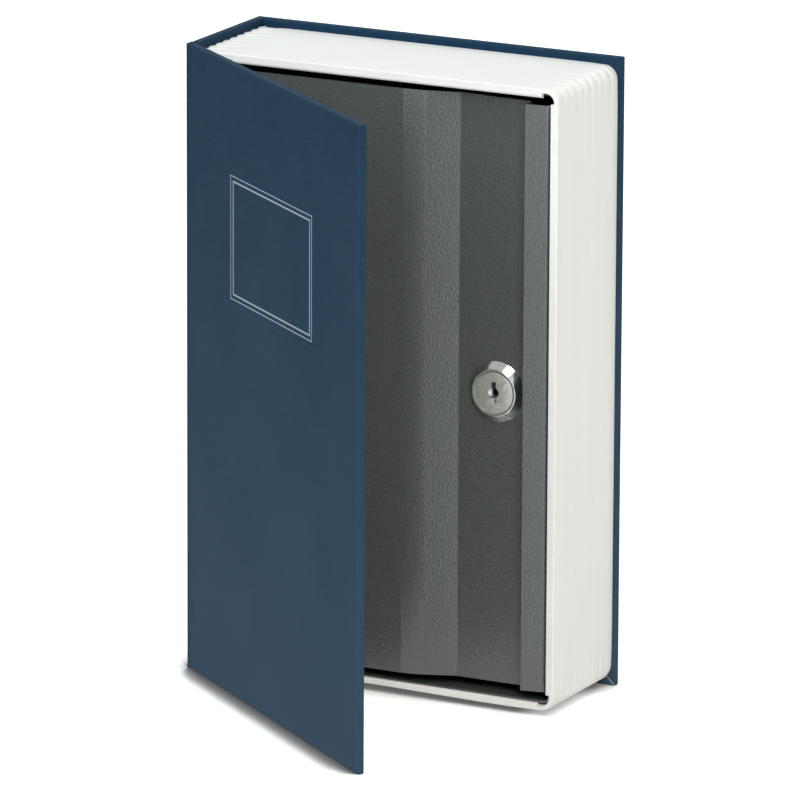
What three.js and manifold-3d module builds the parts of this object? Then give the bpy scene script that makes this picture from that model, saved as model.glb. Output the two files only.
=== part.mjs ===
// Book diversion safe: a steel cash box with a stepped, lockable lid, hidden in a case that looks
// like a cloth-bound book. It stands on the lower edges of its covers. Millimetres, +Z up.
// The origin is on the floor, in the middle of the back cover's lower edge. +X runs from the spine
// to the fore-edge, and -Y points out of the front cover.
import * as THREE from 'three';
import { mergeVertices } from 'three/addons/utils/BufferGeometryUtils.js';
import Module from 'manifold-3d';

// The book as a whole
const BOOK_HEIGHT = 240;
const COVER_WIDTH = 152.5;
const BOOK_DEPTH = 56;
const REST_OPENING_DEG = 38;

// Covers and spine: board, cloth and paper
const CLOTH = 0.4;
const BOARD = 2.0;
const PAPER = 0.4;
const GLUE = 0.1;
const TURN_IN = 15;
const FOLD_RADIUS = 0.4;
const FOLD_CLEARANCE = 0.25;

// The plastic moulding that looks like pages
const SQUARE = 3;
const FORE_EDGE_OVERHANG = 1.4;
const BLOCK_CLEARANCE = 0.3;
const SIGNATURES = 9;
const SIGNATURE_ROUNDING = 0.35;
const SCALLOP_RADIUS = 1.3;
const SCALLOP_DEPTH = 0.8;
const PAGE_WALL = 1.6;
const LIP_WIDTH = 0.8;
const LIP_THICKNESS = 1.5;
const LIP_RELIEF = 5;
const BLOCK_CORNER = 5;

// The steel box
const BOX_STEEL = 0.8;
const BOX_CLEARANCE = 0.3;
const STRIKE_STEEL = 1.2;
const STRIKE_REACH = 8.5;
const STRIKE_HEIGHT = 40;
const STRIKE_LEG = 12;

// The lid and its hinge
const LID_STEEL = 1.0;
const LID_FACE_SETBACK = 0.7;
const LID_END_GAP = 3.2;
const LID_SIDE_GAP = 1.2;
const SLOPE_WIDTH = 16.2;
const RECESS_WIDTH = 28.9;
const RECESS_DEPTH = 5.55;
const RIM_WIDTH = 9.9;
const RIM_BEND = 2.6;
const RIM_BEND_STEPS = 5;
const ROD_RADIUS = 1.5;
const ROD_CLEARANCE = 0.08;
const CURL_CLEARANCE = 0.1;
const CURL_TO_LIP = 1.5;
const CURL_END_GAP = 0.4;
const CURL_TAB = 5;

// The cam lock
const LOCK_TO_RIM = 13.2;
const BEZEL_HEIGHT = 3.0;
const BEZEL_FACE_RADIUS = 8.8;
const BEZEL_BASE_RADIUS = 11.5;
const BARREL_RADIUS = 9.0;
const BARREL_FLATS = 15.6;
const BARREL_LENGTH = 11;
const PANEL_HOLE_CLEARANCE = 0.2;
const CAP_RADIUS = 7.8;
const CAP_DEPTH = 1.2;
const PLUG_RADIUS = 5.45;
const PLUG_CLEARANCE = 0.1;
const KEYWAY_WIDTH = 1.9;
const KEYWAY_TOP = 4.2;
const KEYWAY_FOOT = 3.9;
const KEYWAY_FOOT_WIDTH = 1.2;
const KEYWAY_BULGE_RADIUS = 2.1;
const KEYWAY_DEPTH = 12.2;
const WASHER_THICKNESS = 0.6;
const WASHER_WIDTH = 2.6;
const NUT_THICKNESS = 3;
const NUT_ACROSS_FLATS = 23;
const NUT_CLEARANCE = 0.15;
const TAIL_SIZE = 6;
const TAIL_CLEARANCE = 0.1;
const STOP_RADIUS = 7.4;
const STOP_HEIGHT = 0.5;
const STOP_WIDTH_DEG = 20;
const TURN_DEG = 90;
const STOP_SLACK_DEG = 3;
const CAM_THICKNESS = 2;
const CAM_WIDTH = 11;
const CAM_REACH = 22.5;
const CAM_GAP = 0.4;
const SCREW_RADIUS = 1.8;
const SCREW_HEAD_RADIUS = 4.4;
const SCREW_HEAD_HEIGHT = 2.2;
const SCREW_DEPTH = 3.6;
const SCREW_SLOT = 0.9;

// The wafers and their springs
const WAFERS = 5;
const WAFER_PITCH = 2.0;
const WAFER_FIRST = 3.0;
const WAFER_THICKNESS = 1.0;
const WAFER_WIDTH = 6.4;
const WAFER_HEIGHT = 8.2;
const WAFER_CLEARANCE = 0.1;
const WAFER_LUG = 1.3;
const WAFER_LUG_HEIGHT = 0.8;
const SPRING_TURNS = 4;
const SPRING_PITCH = 0.75;
const SPRING_COIL_RADIUS = 0.36;
const SPRING_WIRE_RADIUS = 0.12;
const SPRING_STEPS_PER_TURN = 8;

const ROUND_SEGMENTS = 32;
const CUT_MARGIN = 1;

// Planes and lines that several pieces share
const COVER_THICKNESS = CLOTH + GLUE + BOARD + GLUE + PAPER;
const SPINE_X = -COVER_WIDTH / 2;
const FORE_X = COVER_WIDTH / 2;
const BACK_Y = COVER_THICKNESS / 2;
const BACK_INNER_Y = BACK_Y - COVER_THICKNESS;
const FRONT_Y = BACK_Y - BOOK_DEPTH;
const BLOCK_FRONT_Y = FRONT_Y + COVER_THICKNESS + BLOCK_CLEARANCE;
const BLOCK_X0 = SPINE_X + COVER_THICKNESS + BLOCK_CLEARANCE;
const BLOCK_X1 = FORE_X - FORE_EDGE_OVERHANG;
const BLOCK_Z0 = SQUARE;
const BLOCK_Z1 = BOOK_HEIGHT - SQUARE;

const BOX_X0 = BLOCK_X0 + PAGE_WALL + BOX_CLEARANCE;
const BOX_X1 = BLOCK_X1 - PAGE_WALL - BOX_CLEARANCE;
const BOX_Z0 = BLOCK_Z0 + PAGE_WALL + BOX_CLEARANCE;
const BOX_Z1 = BLOCK_Z1 - PAGE_WALL - BOX_CLEARANCE;
const BOX_CORNER = BLOCK_CORNER - PAGE_WALL - BOX_CLEARANCE;
const BOX_FRONT_Y = BLOCK_FRONT_Y + LIP_THICKNESS + BOX_CLEARANCE;

const CURL_RADIUS = ROD_RADIUS + CURL_CLEARANCE + LID_STEEL;
const LID_FACE_Y = BLOCK_FRONT_Y + LID_FACE_SETBACK;
const LID_X1 = BOX_X1 - BOX_STEEL - LID_SIDE_GAP;
const LID_Z0 = BOX_Z0 + BOX_STEEL + LID_END_GAP;
const LID_Z1 = BOX_Z1 - BOX_STEEL - LID_END_GAP;
const HINGE_X = BLOCK_X0 + PAGE_WALL + LIP_WIDTH + CURL_TO_LIP + CURL_RADIUS;
const HINGE_Y = LID_FACE_Y + CURL_RADIUS;
const RIM_X0 = LID_X1 - RIM_WIDTH;
const RECESS_X0 = RIM_X0 - RECESS_WIDTH;
const RECESS_Y = LID_FACE_Y + RECESS_DEPTH;

const LOCK_X = RIM_X0 - LOCK_TO_RIM;
const LOCK_Z = BOOK_HEIGHT / 2;
const LOCK_FACE_Y = RECESS_Y - BEZEL_HEIGHT;
const BARREL_END_Y = RECESS_Y + BARREL_LENGTH;
const STOP_WASHER_Y = BARREL_END_Y + GLUE;
const CAM_Y = STOP_WASHER_Y + WASHER_THICKNESS + GLUE;
const STRIKE_BACK_Y = CAM_Y - CAM_GAP;
const STRIKE_FRONT_Y = STRIKE_BACK_Y - STRIKE_STEEL;
const RIM_FLANGE_END_Y = STRIKE_FRONT_Y - BLOCK_CLEARANCE;
const TAIL_END_Y = CAM_Y + CAM_THICKNESS - TAIL_CLEARANCE;

// Finishes
function finish(color, roughness, metalness) {
  return new THREE.MeshStandardMaterial({ color, roughness, metalness });
}
const clothFinish = finish(0x2c4560, 0.6, 0);
const boardFinish = finish(0x9a8a6c, 0.95, 0);
const paperFinish = finish(0xe6e2d6, 0.9, 0);
const pagePlastic = finish(0xe9ebe6, 0.5, 0);
const hammeredPaint = finish(0x5b605f, 0.45, 0.3);
const brightSteel = finish(0xa9abad, 0.35, 0.9);
const chrome = finish(0xc4c6c8, 0.12, 1);
const brass = finish(0xb5923f, 0.35, 1);

// Solids from three.js geometry, cut and joined with manifold-3d
const wasm = await Module();
wasm.setup();

function toSolid(geometry) {
  const bare = geometry.clone();
  for (const name of Object.keys(bare.attributes)) {
    if (name !== 'position') bare.deleteAttribute(name);
  }
  const merged = mergeVertices(bare, 1e-4);
  return new wasm.Manifold(new wasm.Mesh({
    numProp: 3,
    vertProperties: new Float32Array(merged.attributes.position.array),
    triVerts: new Uint32Array(merged.index.array),
  }));
}

function toGeometry(solid) {
  const mesh = solid.getMesh();
  const geometry = new THREE.BufferGeometry();
  geometry.setAttribute('position', new THREE.BufferAttribute(mesh.vertProperties, 3));
  geometry.setIndex(new THREE.BufferAttribute(mesh.triVerts, 1));
  geometry.computeVertexNormals();
  return geometry;
}

function cut(body, ...tools) {
  return toGeometry(tools.reduce((solid, tool) => solid.subtract(toSolid(tool)), toSolid(body)));
}

function join(body, ...others) {
  return toGeometry(others.reduce((solid, other) => solid.add(toSolid(other)), toSolid(body)));
}

function common(body, other) {
  return toGeometry(toSolid(body).intersect(toSolid(other)));
}

function block([x0, x1], [y0, y1], [z0, z1]) {
  const geometry = new THREE.BoxGeometry(x1 - x0, y1 - y0, z1 - z0);
  return geometry.translate((x0 + x1) / 2, (y0 + y1) / 2, (z0 + z1) / 2);
}

// A plan outline (x, y) raised from z0 to z1
function raise(shape, z0, z1) {
  const geometry = new THREE.ExtrudeGeometry(shape, {
    depth: z1 - z0,
    bevelEnabled: false,
    curveSegments: ROUND_SEGMENTS / 4,
  });
  return geometry.translate(0, 0, z0);
}

// A front outline (x, z) pushed back from y0 to y1
function push(shape, y0, y1, bevel = { bevelEnabled: false }, curveSegments = ROUND_SEGMENTS / 4) {
  const bevelDepth = bevel.bevelEnabled ? bevel.bevelThickness : 0;
  const depth = y1 - y0 - 2 * bevelDepth;
  const geometry = new THREE.ExtrudeGeometry(shape, { depth, curveSegments, ...bevel });
  return geometry.rotateX(Math.PI / 2).translate(0, y1 - bevelDepth, 0);
}

const circle = (x, z, radius) => new THREE.Shape().absarc(x, z, radius, 0, Math.PI * 2, false);

function disc(x, z, radius, y0, y1) {
  return push(circle(x, z, radius), y0, y1, undefined, ROUND_SEGMENTS / 2);
}

function rectangle(x0, x1, z0, z1) {
  const shape = new THREE.Shape();
  shape.moveTo(x0, z0);
  shape.lineTo(x1, z0);
  shape.lineTo(x1, z1);
  shape.lineTo(x0, z1);
  shape.closePath();
  return shape;
}

// A rectangle whose two fore-edge corners are rounded
function foreEdgeOutline(x0, x1, z0, z1, radius) {
  const shape = new THREE.Shape();
  shape.moveTo(x0, z0);
  shape.lineTo(x1 - radius, z0);
  shape.absarc(x1 - radius, z0 + radius, radius, -Math.PI / 2, 0, false);
  shape.absarc(x1 - radius, z1 - radius, radius, 0, Math.PI / 2, false);
  shape.lineTo(x0, z1);
  shape.closePath();
  return shape;
}

const safe = new THREE.Group();

function addPiece(name, geometry, material, parent = safe) {
  const mesh = new THREE.Mesh(geometry, material);
  mesh.name = name;
  parent.add(mesh);
}

// Covers: a board wrapped in cloth that is turned in over three edges, with paper glued over the
// rest of the inner face. Drawn lying as the closed front cover does: x from the fold to the
// fore-edge, y from the outer face to the inner face.
function coverPieces(x0, x1) {
  const cloth = cut(
    block([x0, x1], [0, COVER_THICKNESS], [0, BOOK_HEIGHT]),
    block(
      [x0 - CUT_MARGIN, x1 - CLOTH],
      [CLOTH, COVER_THICKNESS - CLOTH],
      [CLOTH, BOOK_HEIGHT - CLOTH],
    ),
    block(
      [x0 - CUT_MARGIN, x1 - TURN_IN],
      [CLOTH, COVER_THICKNESS + CUT_MARGIN],
      [TURN_IN, BOOK_HEIGHT - TURN_IN],
    ),
  );
  const pocket = CLOTH + GLUE;
  const board = block([x0, x1 - pocket], [pocket, pocket + BOARD], [pocket, BOOK_HEIGHT - pocket]);
  const paper = block(
    [x0, x1 - TURN_IN - GLUE],
    [COVER_THICKNESS - PAPER, COVER_THICKNESS],
    [TURN_IN + GLUE, BOOK_HEIGHT - TURN_IN - GLUE],
  );
  return { cloth, board, paper };
}

// Back cover: the same cover, turned over so that its outer face points backwards
const backPieces = coverPieces(SPINE_X, FORE_X);
for (const [name, geometry, material] of [
  ['back_cloth', backPieces.cloth, clothFinish],
  ['back_board', backPieces.board, boardFinish],
  ['back_pastedown', backPieces.paper, paperFinish],
]) {
  addPiece(name, geometry.rotateX(Math.PI).translate(0, BACK_Y, BOOK_HEIGHT), material);
}

// Spine: cloth turned in at head and foot, and running on past the board to the fold
const spineY = [FRONT_Y + COVER_THICKNESS + BLOCK_CLEARANCE, BACK_INNER_Y];
const spineWrap = cut(
  block([SPINE_X, SPINE_X + COVER_THICKNESS], spineY, [0, BOOK_HEIGHT]),
  block(
    [SPINE_X + CLOTH, SPINE_X + COVER_THICKNESS - CLOTH],
    [spineY[0] - CUT_MARGIN, spineY[1] + CUT_MARGIN],
    [CLOTH, BOOK_HEIGHT - CLOTH],
  ),
  block(
    [SPINE_X + CLOTH, SPINE_X + COVER_THICKNESS + CUT_MARGIN],
    [spineY[0] - CUT_MARGIN, spineY[1] + CUT_MARGIN],
    [TURN_IN, BOOK_HEIGHT - TURN_IN],
  ),
);
const foldStretchY = [FRONT_Y + FOLD_RADIUS + FOLD_CLEARANCE, spineY[0] + CLOTH];
addPiece(
  'spine_cloth',
  join(spineWrap, block([SPINE_X, SPINE_X + CLOTH], foldStretchY, [0, BOOK_HEIGHT])),
  clothFinish,
);
const spineBoardX = SPINE_X + CLOTH + GLUE;
addPiece(
  'spine_board',
  block([spineBoardX, spineBoardX + BOARD], spineY, [CLOTH + GLUE, BOOK_HEIGHT - CLOTH - GLUE]),
  boardFinish,
);
addPiece(
  'spine_lining',
  block(
    [SPINE_X + COVER_THICKNESS - PAPER, SPINE_X + COVER_THICKNESS],
    spineY,
    [TURN_IN + GLUE, BOOK_HEIGHT - TURN_IN - GLUE],
  ),
  paperFinish,
);

// Fold: the doubled cloth on the line about which the front cover swings
addPiece(
  'cover_fold',
  raise(new THREE.Shape().absarc(SPINE_X, FRONT_Y, FOLD_RADIUS, 0, Math.PI * 2, false), 0, BOOK_HEIGHT),
  clothFinish,
);

// Front cover, standing open by the rest angle
const frontCover = new THREE.Group();
frontCover.position.set(SPINE_X, FRONT_Y, 0);
frontCover.rotation.z = -THREE.MathUtils.degToRad(REST_OPENING_DEG);
safe.add(frontCover);
const frontPieces = coverPieces(FOLD_RADIUS + FOLD_CLEARANCE, COVER_WIDTH);
addPiece('front_cloth', frontPieces.cloth, clothFinish, frontCover);
addPiece('front_board', frontPieces.board, boardFinish, frontCover);
addPiece('front_pastedown', frontPieces.paper, paperFinish, frontCover);

// Page block: a ring-shaped moulding whose outside swells in and out like sewn signatures, most of
// all towards the spine, with a thin lip round its front opening that stops short of the two
// fore-edge corners
function pageBlockFrame() {
  const pitch = (BACK_INNER_Y - BLOCK_FRONT_Y) / SIGNATURES;
  const outline = foreEdgeOutline(BLOCK_X0, BLOCK_X1, BLOCK_Z0, BLOCK_Z1, BLOCK_CORNER);
  const overlap = 0.02;
  const rounding = {
    bevelEnabled: true,
    bevelSize: SIGNATURE_ROUNDING,
    bevelOffset: -SIGNATURE_ROUNDING,
    bevelThickness: pitch * 0.35,
    bevelSegments: 2,
  };
  const signatures = [];
  for (let i = 0; i < SIGNATURES; i += 1) {
    const start = BLOCK_FRONT_Y + i * pitch;
    const end = i === SIGNATURES - 1 ? BACK_INNER_Y : start + pitch + overlap;
    signatures.push(push(outline, start, end, rounding, 5));
  }
  const scallops = [];
  for (let i = 1; i < SIGNATURES; i += 1) {
    const scallop = new THREE.CylinderGeometry(SCALLOP_RADIUS, SCALLOP_RADIUS, BOOK_HEIGHT, 12);
    const x = BLOCK_X0 + SCALLOP_DEPTH - SCALLOP_RADIUS;
    const y = BLOCK_FRONT_Y + i * pitch;
    scallops.push(scallop.rotateX(Math.PI / 2).translate(x, y, BOOK_HEIGHT / 2));
  }
  const cavityEdges = [
    BLOCK_X0 + PAGE_WALL,
    BLOCK_X1 - PAGE_WALL,
    BLOCK_Z0 + PAGE_WALL,
    BLOCK_Z1 - PAGE_WALL,
  ];
  const [x0, x1, z0, z1] = cavityEdges;
  const cavity = foreEdgeOutline(x0, x1, z0, z1, BLOCK_CORNER - PAGE_WALL);
  const throughY = [BLOCK_FRONT_Y - CUT_MARGIN, BLOCK_FRONT_Y + LIP_THICKNESS + CUT_MARGIN];
  const mouth = rectangle(x0 + LIP_WIDTH, x1 - LIP_WIDTH, z0 + LIP_WIDTH, z1 - LIP_WIDTH);
  const relief = (low, high) => common(
    push(cavity, ...throughY),
    block([x1 - LIP_RELIEF, x1 + CUT_MARGIN], throughY, [low, high]),
  );
  return cut(
    join(...signatures),
    push(cavity, BLOCK_FRONT_Y + LIP_THICKNESS, BACK_INNER_Y + CUT_MARGIN),
    push(mouth, ...throughY),
    relief(z0 - CUT_MARGIN, z0 + LIP_RELIEF),
    relief(z1 - LIP_RELIEF, z1 + CUT_MARGIN),
    ...scallops,
  );
}
addPiece('page_block_frame', pageBlockFrame(), pagePlastic);

// Steel box: a tray with its mouth to the front, and a hole in each end wall for the hinge rod
function boxShell() {
  const outer = foreEdgeOutline(BOX_X0, BOX_X1, BOX_Z0, BOX_Z1, BOX_CORNER);
  const inner = foreEdgeOutline(
    BOX_X0 + BOX_STEEL,
    BOX_X1 - BOX_STEEL,
    BOX_Z0 + BOX_STEEL,
    BOX_Z1 - BOX_STEEL,
    BOX_CORNER - BOX_STEEL,
  );
  const rodHole = new THREE.Shape();
  rodHole.absarc(HINGE_X, HINGE_Y, ROD_RADIUS + ROD_CLEARANCE, 0, Math.PI * 2, false);
  return cut(
    push(outer, BOX_FRONT_Y, BACK_INNER_Y),
    push(inner, BOX_FRONT_Y - CUT_MARGIN, BACK_INNER_Y - BOX_STEEL),
    raise(rodHole, BOX_Z0 - CUT_MARGIN, BOX_Z1 + CUT_MARGIN),
  );
}
addPiece('box_shell', boxShell(), hammeredPaint);

// Strike bracket: an angle on the fore-edge wall. The lid's rim rests on its front, and the cam
// goes behind it.
const strikeX1 = BOX_X1 - BOX_STEEL;
const strikeZ = [LOCK_Z - STRIKE_HEIGHT / 2, LOCK_Z + STRIKE_HEIGHT / 2];
addPiece(
  'strike_bracket',
  join(
    block([strikeX1 - STRIKE_REACH, strikeX1], [STRIKE_FRONT_Y, STRIKE_BACK_Y], strikeZ),
    block([strikeX1 - STRIKE_STEEL, strikeX1], [STRIKE_FRONT_Y, STRIKE_FRONT_Y + STRIKE_LEG], strikeZ),
  ),
  hammeredPaint,
);

// Hinge rod, its ends flush with the box's end walls
const rodOutline = new THREE.Shape().absarc(HINGE_X, HINGE_Y, ROD_RADIUS, 0, Math.PI * 2, false);
addPiece('hinge_rod', raise(rodOutline, BOX_Z0, BOX_Z1), brightSteel);

// The closed outline of a bent sheet: its outer face as a line of points, and the same line set
// back by the sheet's thickness, square to each run
function sheetOutline(outer, thickness) {
  const inner = outer.map((point, i) => {
    const before = i > 0 ? point.clone().sub(outer[i - 1]).normalize() : null;
    const after = i < outer.length - 1 ? outer[i + 1].clone().sub(point).normalize() : null;
    const a = before ?? after;
    const b = after ?? before;
    const normal = new THREE.Vector2(-(a.y + b.y), a.x + b.x).normalize();
    const squareness = normal.dot(new THREE.Vector2(-a.y, a.x));
    return point.clone().addScaledVector(normal, thickness / squareness);
  });
  return new THREE.Shape([...outer, ...inner.reverse()]);
}

// Lid: one bent sheet, flat beside the hinge, sloping down to the lock's recess, then up to the
// raised rim and back into the box as a flange. The hinge side is rolled round the rod.
function lidPanel() {
  const outer = [
    new THREE.Vector2(HINGE_X, LID_FACE_Y),
    new THREE.Vector2(RECESS_X0 - SLOPE_WIDTH, LID_FACE_Y),
    new THREE.Vector2(RECESS_X0, RECESS_Y),
    new THREE.Vector2(RIM_X0, RECESS_Y),
    new THREE.Vector2(RIM_X0, LID_FACE_Y),
  ];
  for (let i = 0; i <= RIM_BEND_STEPS; i += 1) {
    const angle = (Math.PI / 2) * (1 - i / RIM_BEND_STEPS);
    outer.push(new THREE.Vector2(
      LID_X1 - RIM_BEND + RIM_BEND * Math.cos(angle),
      LID_FACE_Y + RIM_BEND - RIM_BEND * Math.sin(angle),
    ));
  }
  outer.push(new THREE.Vector2(LID_X1, RIM_FLANGE_END_Y));
  const sheet = raise(sheetOutline(outer, LID_STEEL), LID_Z0, LID_Z1);
  const curl = new THREE.Shape().absarc(HINGE_X, HINGE_Y, CURL_RADIUS, 0, Math.PI * 2, false);
  const curlZ = [BOX_Z0 + BOX_STEEL + CURL_END_GAP, BOX_Z1 - BOX_STEEL - CURL_END_GAP];
  const tab = block([HINGE_X, HINGE_X + CURL_TAB], [LID_FACE_Y, LID_FACE_Y + LID_STEEL], curlZ);
  const bore = new THREE.Shape();
  bore.absarc(HINGE_X, HINGE_Y, ROD_RADIUS + CURL_CLEARANCE, 0, Math.PI * 2, false);
  return cut(
    join(sheet, raise(curl, ...curlZ), tab),
    raise(bore, curlZ[0] - CUT_MARGIN, curlZ[1] + CUT_MARGIN),
    flattedDisc(
      BARREL_RADIUS + PANEL_HOLE_CLEARANCE,
      BARREL_FLATS / 2 + PANEL_HOLE_CLEARANCE,
      RECESS_Y - CUT_MARGIN,
      RECESS_Y + LID_STEEL + CUT_MARGIN,
    ),
  );
}

// A disc on the lock's axis with its two sides cut flat
function flattedDisc(radius, halfWidth, y0, y1) {
  return common(
    disc(LOCK_X, LOCK_Z, radius, y0, y1),
    block([LOCK_X - halfWidth, LOCK_X + halfWidth], [y0, y1], [LOCK_Z - radius, LOCK_Z + radius]),
  );
}
addPiece('lid_panel', lidPanel(), hammeredPaint);

// A washer on the lock's axis
function ring(innerRadius, outerRadius, y0, y1) {
  return cut(
    disc(LOCK_X, LOCK_Z, outerRadius, y0, y1),
    disc(LOCK_X, LOCK_Z, innerRadius, y0 - CUT_MARGIN, y1 + CUT_MARGIN),
  );
}

// A sector of a ring on the lock's axis, between two angles counted from +X towards +Z
function sector(innerRadius, outerRadius, fromDeg, toDeg, y0, y1) {
  const from = THREE.MathUtils.degToRad(fromDeg);
  const to = THREE.MathUtils.degToRad(toDeg);
  const shape = new THREE.Shape();
  shape.absarc(LOCK_X, LOCK_Z, outerRadius, from, to, false);
  shape.absarc(LOCK_X, LOCK_Z, innerRadius, to, from, true);
  shape.closePath();
  return push(shape, y0, y1);
}

// Lock housing: conical bezel and flatted barrel in one, bored for the plug, with a channel above
// and below the bore for the wafers and a stop on its rear face
const boreRadius = PLUG_RADIUS + PLUG_CLEARANCE;
const stopCentreDeg = -90;
function lockHousing() {
  const cone = new THREE.LatheGeometry([
    new THREE.Vector2(0, 0),
    new THREE.Vector2(BEZEL_BASE_RADIUS, 0),
    new THREE.Vector2(BEZEL_BASE_RADIUS, 0.4),
    new THREE.Vector2(BEZEL_FACE_RADIUS + 0.25, BEZEL_HEIGHT - 0.25),
    new THREE.Vector2(BEZEL_FACE_RADIUS, BEZEL_HEIGHT),
    new THREE.Vector2(0, BEZEL_HEIGHT),
  ], ROUND_SEGMENTS).rotateX(Math.PI).translate(LOCK_X, RECESS_Y, LOCK_Z);
  const barrelY = [RECESS_Y - BEZEL_HEIGHT / 2, BARREL_END_Y];
  const barrel = flattedDisc(BARREL_RADIUS, BARREL_FLATS / 2, ...barrelY);
  const stop = sector(
    boreRadius + 0.2,
    STOP_RADIUS,
    stopCentreDeg - STOP_WIDTH_DEG / 2,
    stopCentreDeg + STOP_WIDTH_DEG / 2,
    BARREL_END_Y - CUT_MARGIN,
    BARREL_END_Y + STOP_HEIGHT,
  );
  const channelReach = boreRadius + 1.2;
  const capSeatY = [LOCK_FACE_Y - CUT_MARGIN, LOCK_FACE_Y + CAP_DEPTH + GLUE];
  return cut(
    join(cone, barrel, stop),
    disc(LOCK_X, LOCK_Z, CAP_RADIUS + PLUG_CLEARANCE, ...capSeatY),
    disc(LOCK_X, LOCK_Z, boreRadius, LOCK_FACE_Y, BARREL_END_Y + CUT_MARGIN),
    block(
      [LOCK_X - WAFER_WIDTH / 2 - WAFER_CLEARANCE, LOCK_X + WAFER_WIDTH / 2 + WAFER_CLEARANCE],
      [LOCK_FACE_Y + WAFER_FIRST - WAFER_THICKNESS, LOCK_FACE_Y + WAFER_FIRST + WAFERS * WAFER_PITCH],
      [LOCK_Z - channelReach, LOCK_Z + channelReach],
    ),
  );
}
addPiece('lock_housing', lockHousing(), chrome);

// Washer and nut that clamp the barrel behind the panel
const washerY = RECESS_Y + LID_STEEL;
const nutY = washerY + WASHER_THICKNESS;
const nutBore = BARREL_RADIUS + NUT_CLEARANCE;
addPiece('lock_washer', ring(nutBore, nutBore + WASHER_WIDTH, washerY, nutY), brightSteel);
function hexNut() {
  const hexagon = new THREE.Shape();
  const corner = NUT_ACROSS_FLATS / 2 / Math.cos(Math.PI / 6);
  for (let i = 0; i < 6; i += 1) {
    const angle = (Math.PI / 3) * i + Math.PI / 6;
    const point = [LOCK_X + corner * Math.cos(angle), LOCK_Z + corner * Math.sin(angle)];
    if (i === 0) hexagon.moveTo(...point);
    else hexagon.lineTo(...point);
  }
  hexagon.closePath();
  return cut(
    push(hexagon, nutY, nutY + NUT_THICKNESS),
    disc(LOCK_X, LOCK_Z, nutBore, nutY - CUT_MARGIN, nutY + NUT_THICKNESS + CUT_MARGIN),
  );
}
addPiece('lock_nut', hexNut(), brightSteel);

// Plug: cap, body with a slot for each wafer, square tail for the cam, and a tapped hole behind
const waferY = (i) => LOCK_FACE_Y + WAFER_FIRST + i * WAFER_PITCH;
const lugX = [LOCK_X + WAFER_WIDTH / 2, LOCK_X + WAFER_WIDTH / 2 + WAFER_LUG];
const springX = (lugX[0] + lugX[1]) / 2 + WAFER_CLEARANCE;
const springLength = SPRING_TURNS * SPRING_PITCH + 2 * SPRING_WIRE_RADIUS;
const lugZ0 = LOCK_Z + springLength / 2 - WAFER_LUG_HEIGHT / 2;
const springZ0 = lugZ0 - WAFER_CLEARANCE - springLength + SPRING_WIRE_RADIUS;

function lockPlug() {
  const tailHalf = TAIL_SIZE / 2;
  const body = join(
    disc(LOCK_X, LOCK_Z, CAP_RADIUS, LOCK_FACE_Y, LOCK_FACE_Y + CAP_DEPTH),
    disc(LOCK_X, LOCK_Z, PLUG_RADIUS, LOCK_FACE_Y + CAP_DEPTH / 2, BARREL_END_Y),
    block(
      [LOCK_X - tailHalf, LOCK_X + tailHalf],
      [BARREL_END_Y - CUT_MARGIN, TAIL_END_Y],
      [LOCK_Z - tailHalf, LOCK_Z + tailHalf],
    ),
  );
  const keyway = [
    push(
      rectangle(LOCK_X - KEYWAY_WIDTH / 2, LOCK_X + KEYWAY_WIDTH / 2, LOCK_Z, LOCK_Z + KEYWAY_TOP),
      LOCK_FACE_Y - CUT_MARGIN,
      LOCK_FACE_Y + KEYWAY_DEPTH,
    ),
    push(
      rectangle(LOCK_X, LOCK_X + KEYWAY_FOOT_WIDTH, LOCK_Z - KEYWAY_FOOT, LOCK_Z),
      LOCK_FACE_Y - CUT_MARGIN,
      LOCK_FACE_Y + KEYWAY_DEPTH,
    ),
    disc(LOCK_X, LOCK_Z, KEYWAY_BULGE_RADIUS, LOCK_FACE_Y - CUT_MARGIN, LOCK_FACE_Y + KEYWAY_DEPTH),
  ];
  const slots = [];
  for (let i = 0; i < WAFERS; i += 1) {
    const slotY = [waferY(i) - WAFER_CLEARANCE, waferY(i) + WAFER_THICKNESS + WAFER_CLEARANCE];
    const halfWidth = WAFER_WIDTH / 2 + WAFER_CLEARANCE;
    slots.push(
      block(
        [LOCK_X - halfWidth, LOCK_X + halfWidth],
        slotY,
        [LOCK_Z - PLUG_RADIUS, LOCK_Z + PLUG_RADIUS],
      ),
      block(
        [LOCK_X, lugX[1] + 2 * WAFER_CLEARANCE],
        slotY,
        [springZ0 - SPRING_WIRE_RADIUS - WAFER_CLEARANCE, lugZ0 + WAFER_LUG_HEIGHT + WAFER_CLEARANCE],
      ),
    );
  }
  const tappedHole = disc(
    LOCK_X,
    LOCK_Z,
    SCREW_RADIUS + PLUG_CLEARANCE,
    TAIL_END_Y - SCREW_DEPTH - GLUE,
    TAIL_END_Y + CUT_MARGIN,
  );
  return cut(body, ...keyway, ...slots, tappedHole);
}
addPiece('lock_plug', lockPlug(), chrome);

// Wafers: thin brass plates with a window for the key and a lug that the spring pushes on
for (let i = 0; i < WAFERS; i += 1) {
  const y = [waferY(i), waferY(i) + WAFER_THICKNESS];
  const wafer = cut(
    join(
      block(
        [LOCK_X - WAFER_WIDTH / 2, LOCK_X + WAFER_WIDTH / 2],
        y,
        [LOCK_Z - WAFER_HEIGHT / 2, LOCK_Z + WAFER_HEIGHT / 2],
      ),
      block([LOCK_X + WAFER_WIDTH / 4, lugX[1]], y, [lugZ0, lugZ0 + WAFER_LUG_HEIGHT]),
    ),
    block(
      [LOCK_X - KEYWAY_WIDTH / 2, LOCK_X + KEYWAY_WIDTH / 2],
      [y[0] - CUT_MARGIN, y[1] + CUT_MARGIN],
      [LOCK_Z - KEYWAY_FOOT / 2 - i / WAFERS, LOCK_Z + KEYWAY_TOP - 1 - i / WAFERS],
    ),
  );
  addPiece(`wafer_${i + 1}`, wafer, brass);
}

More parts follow.
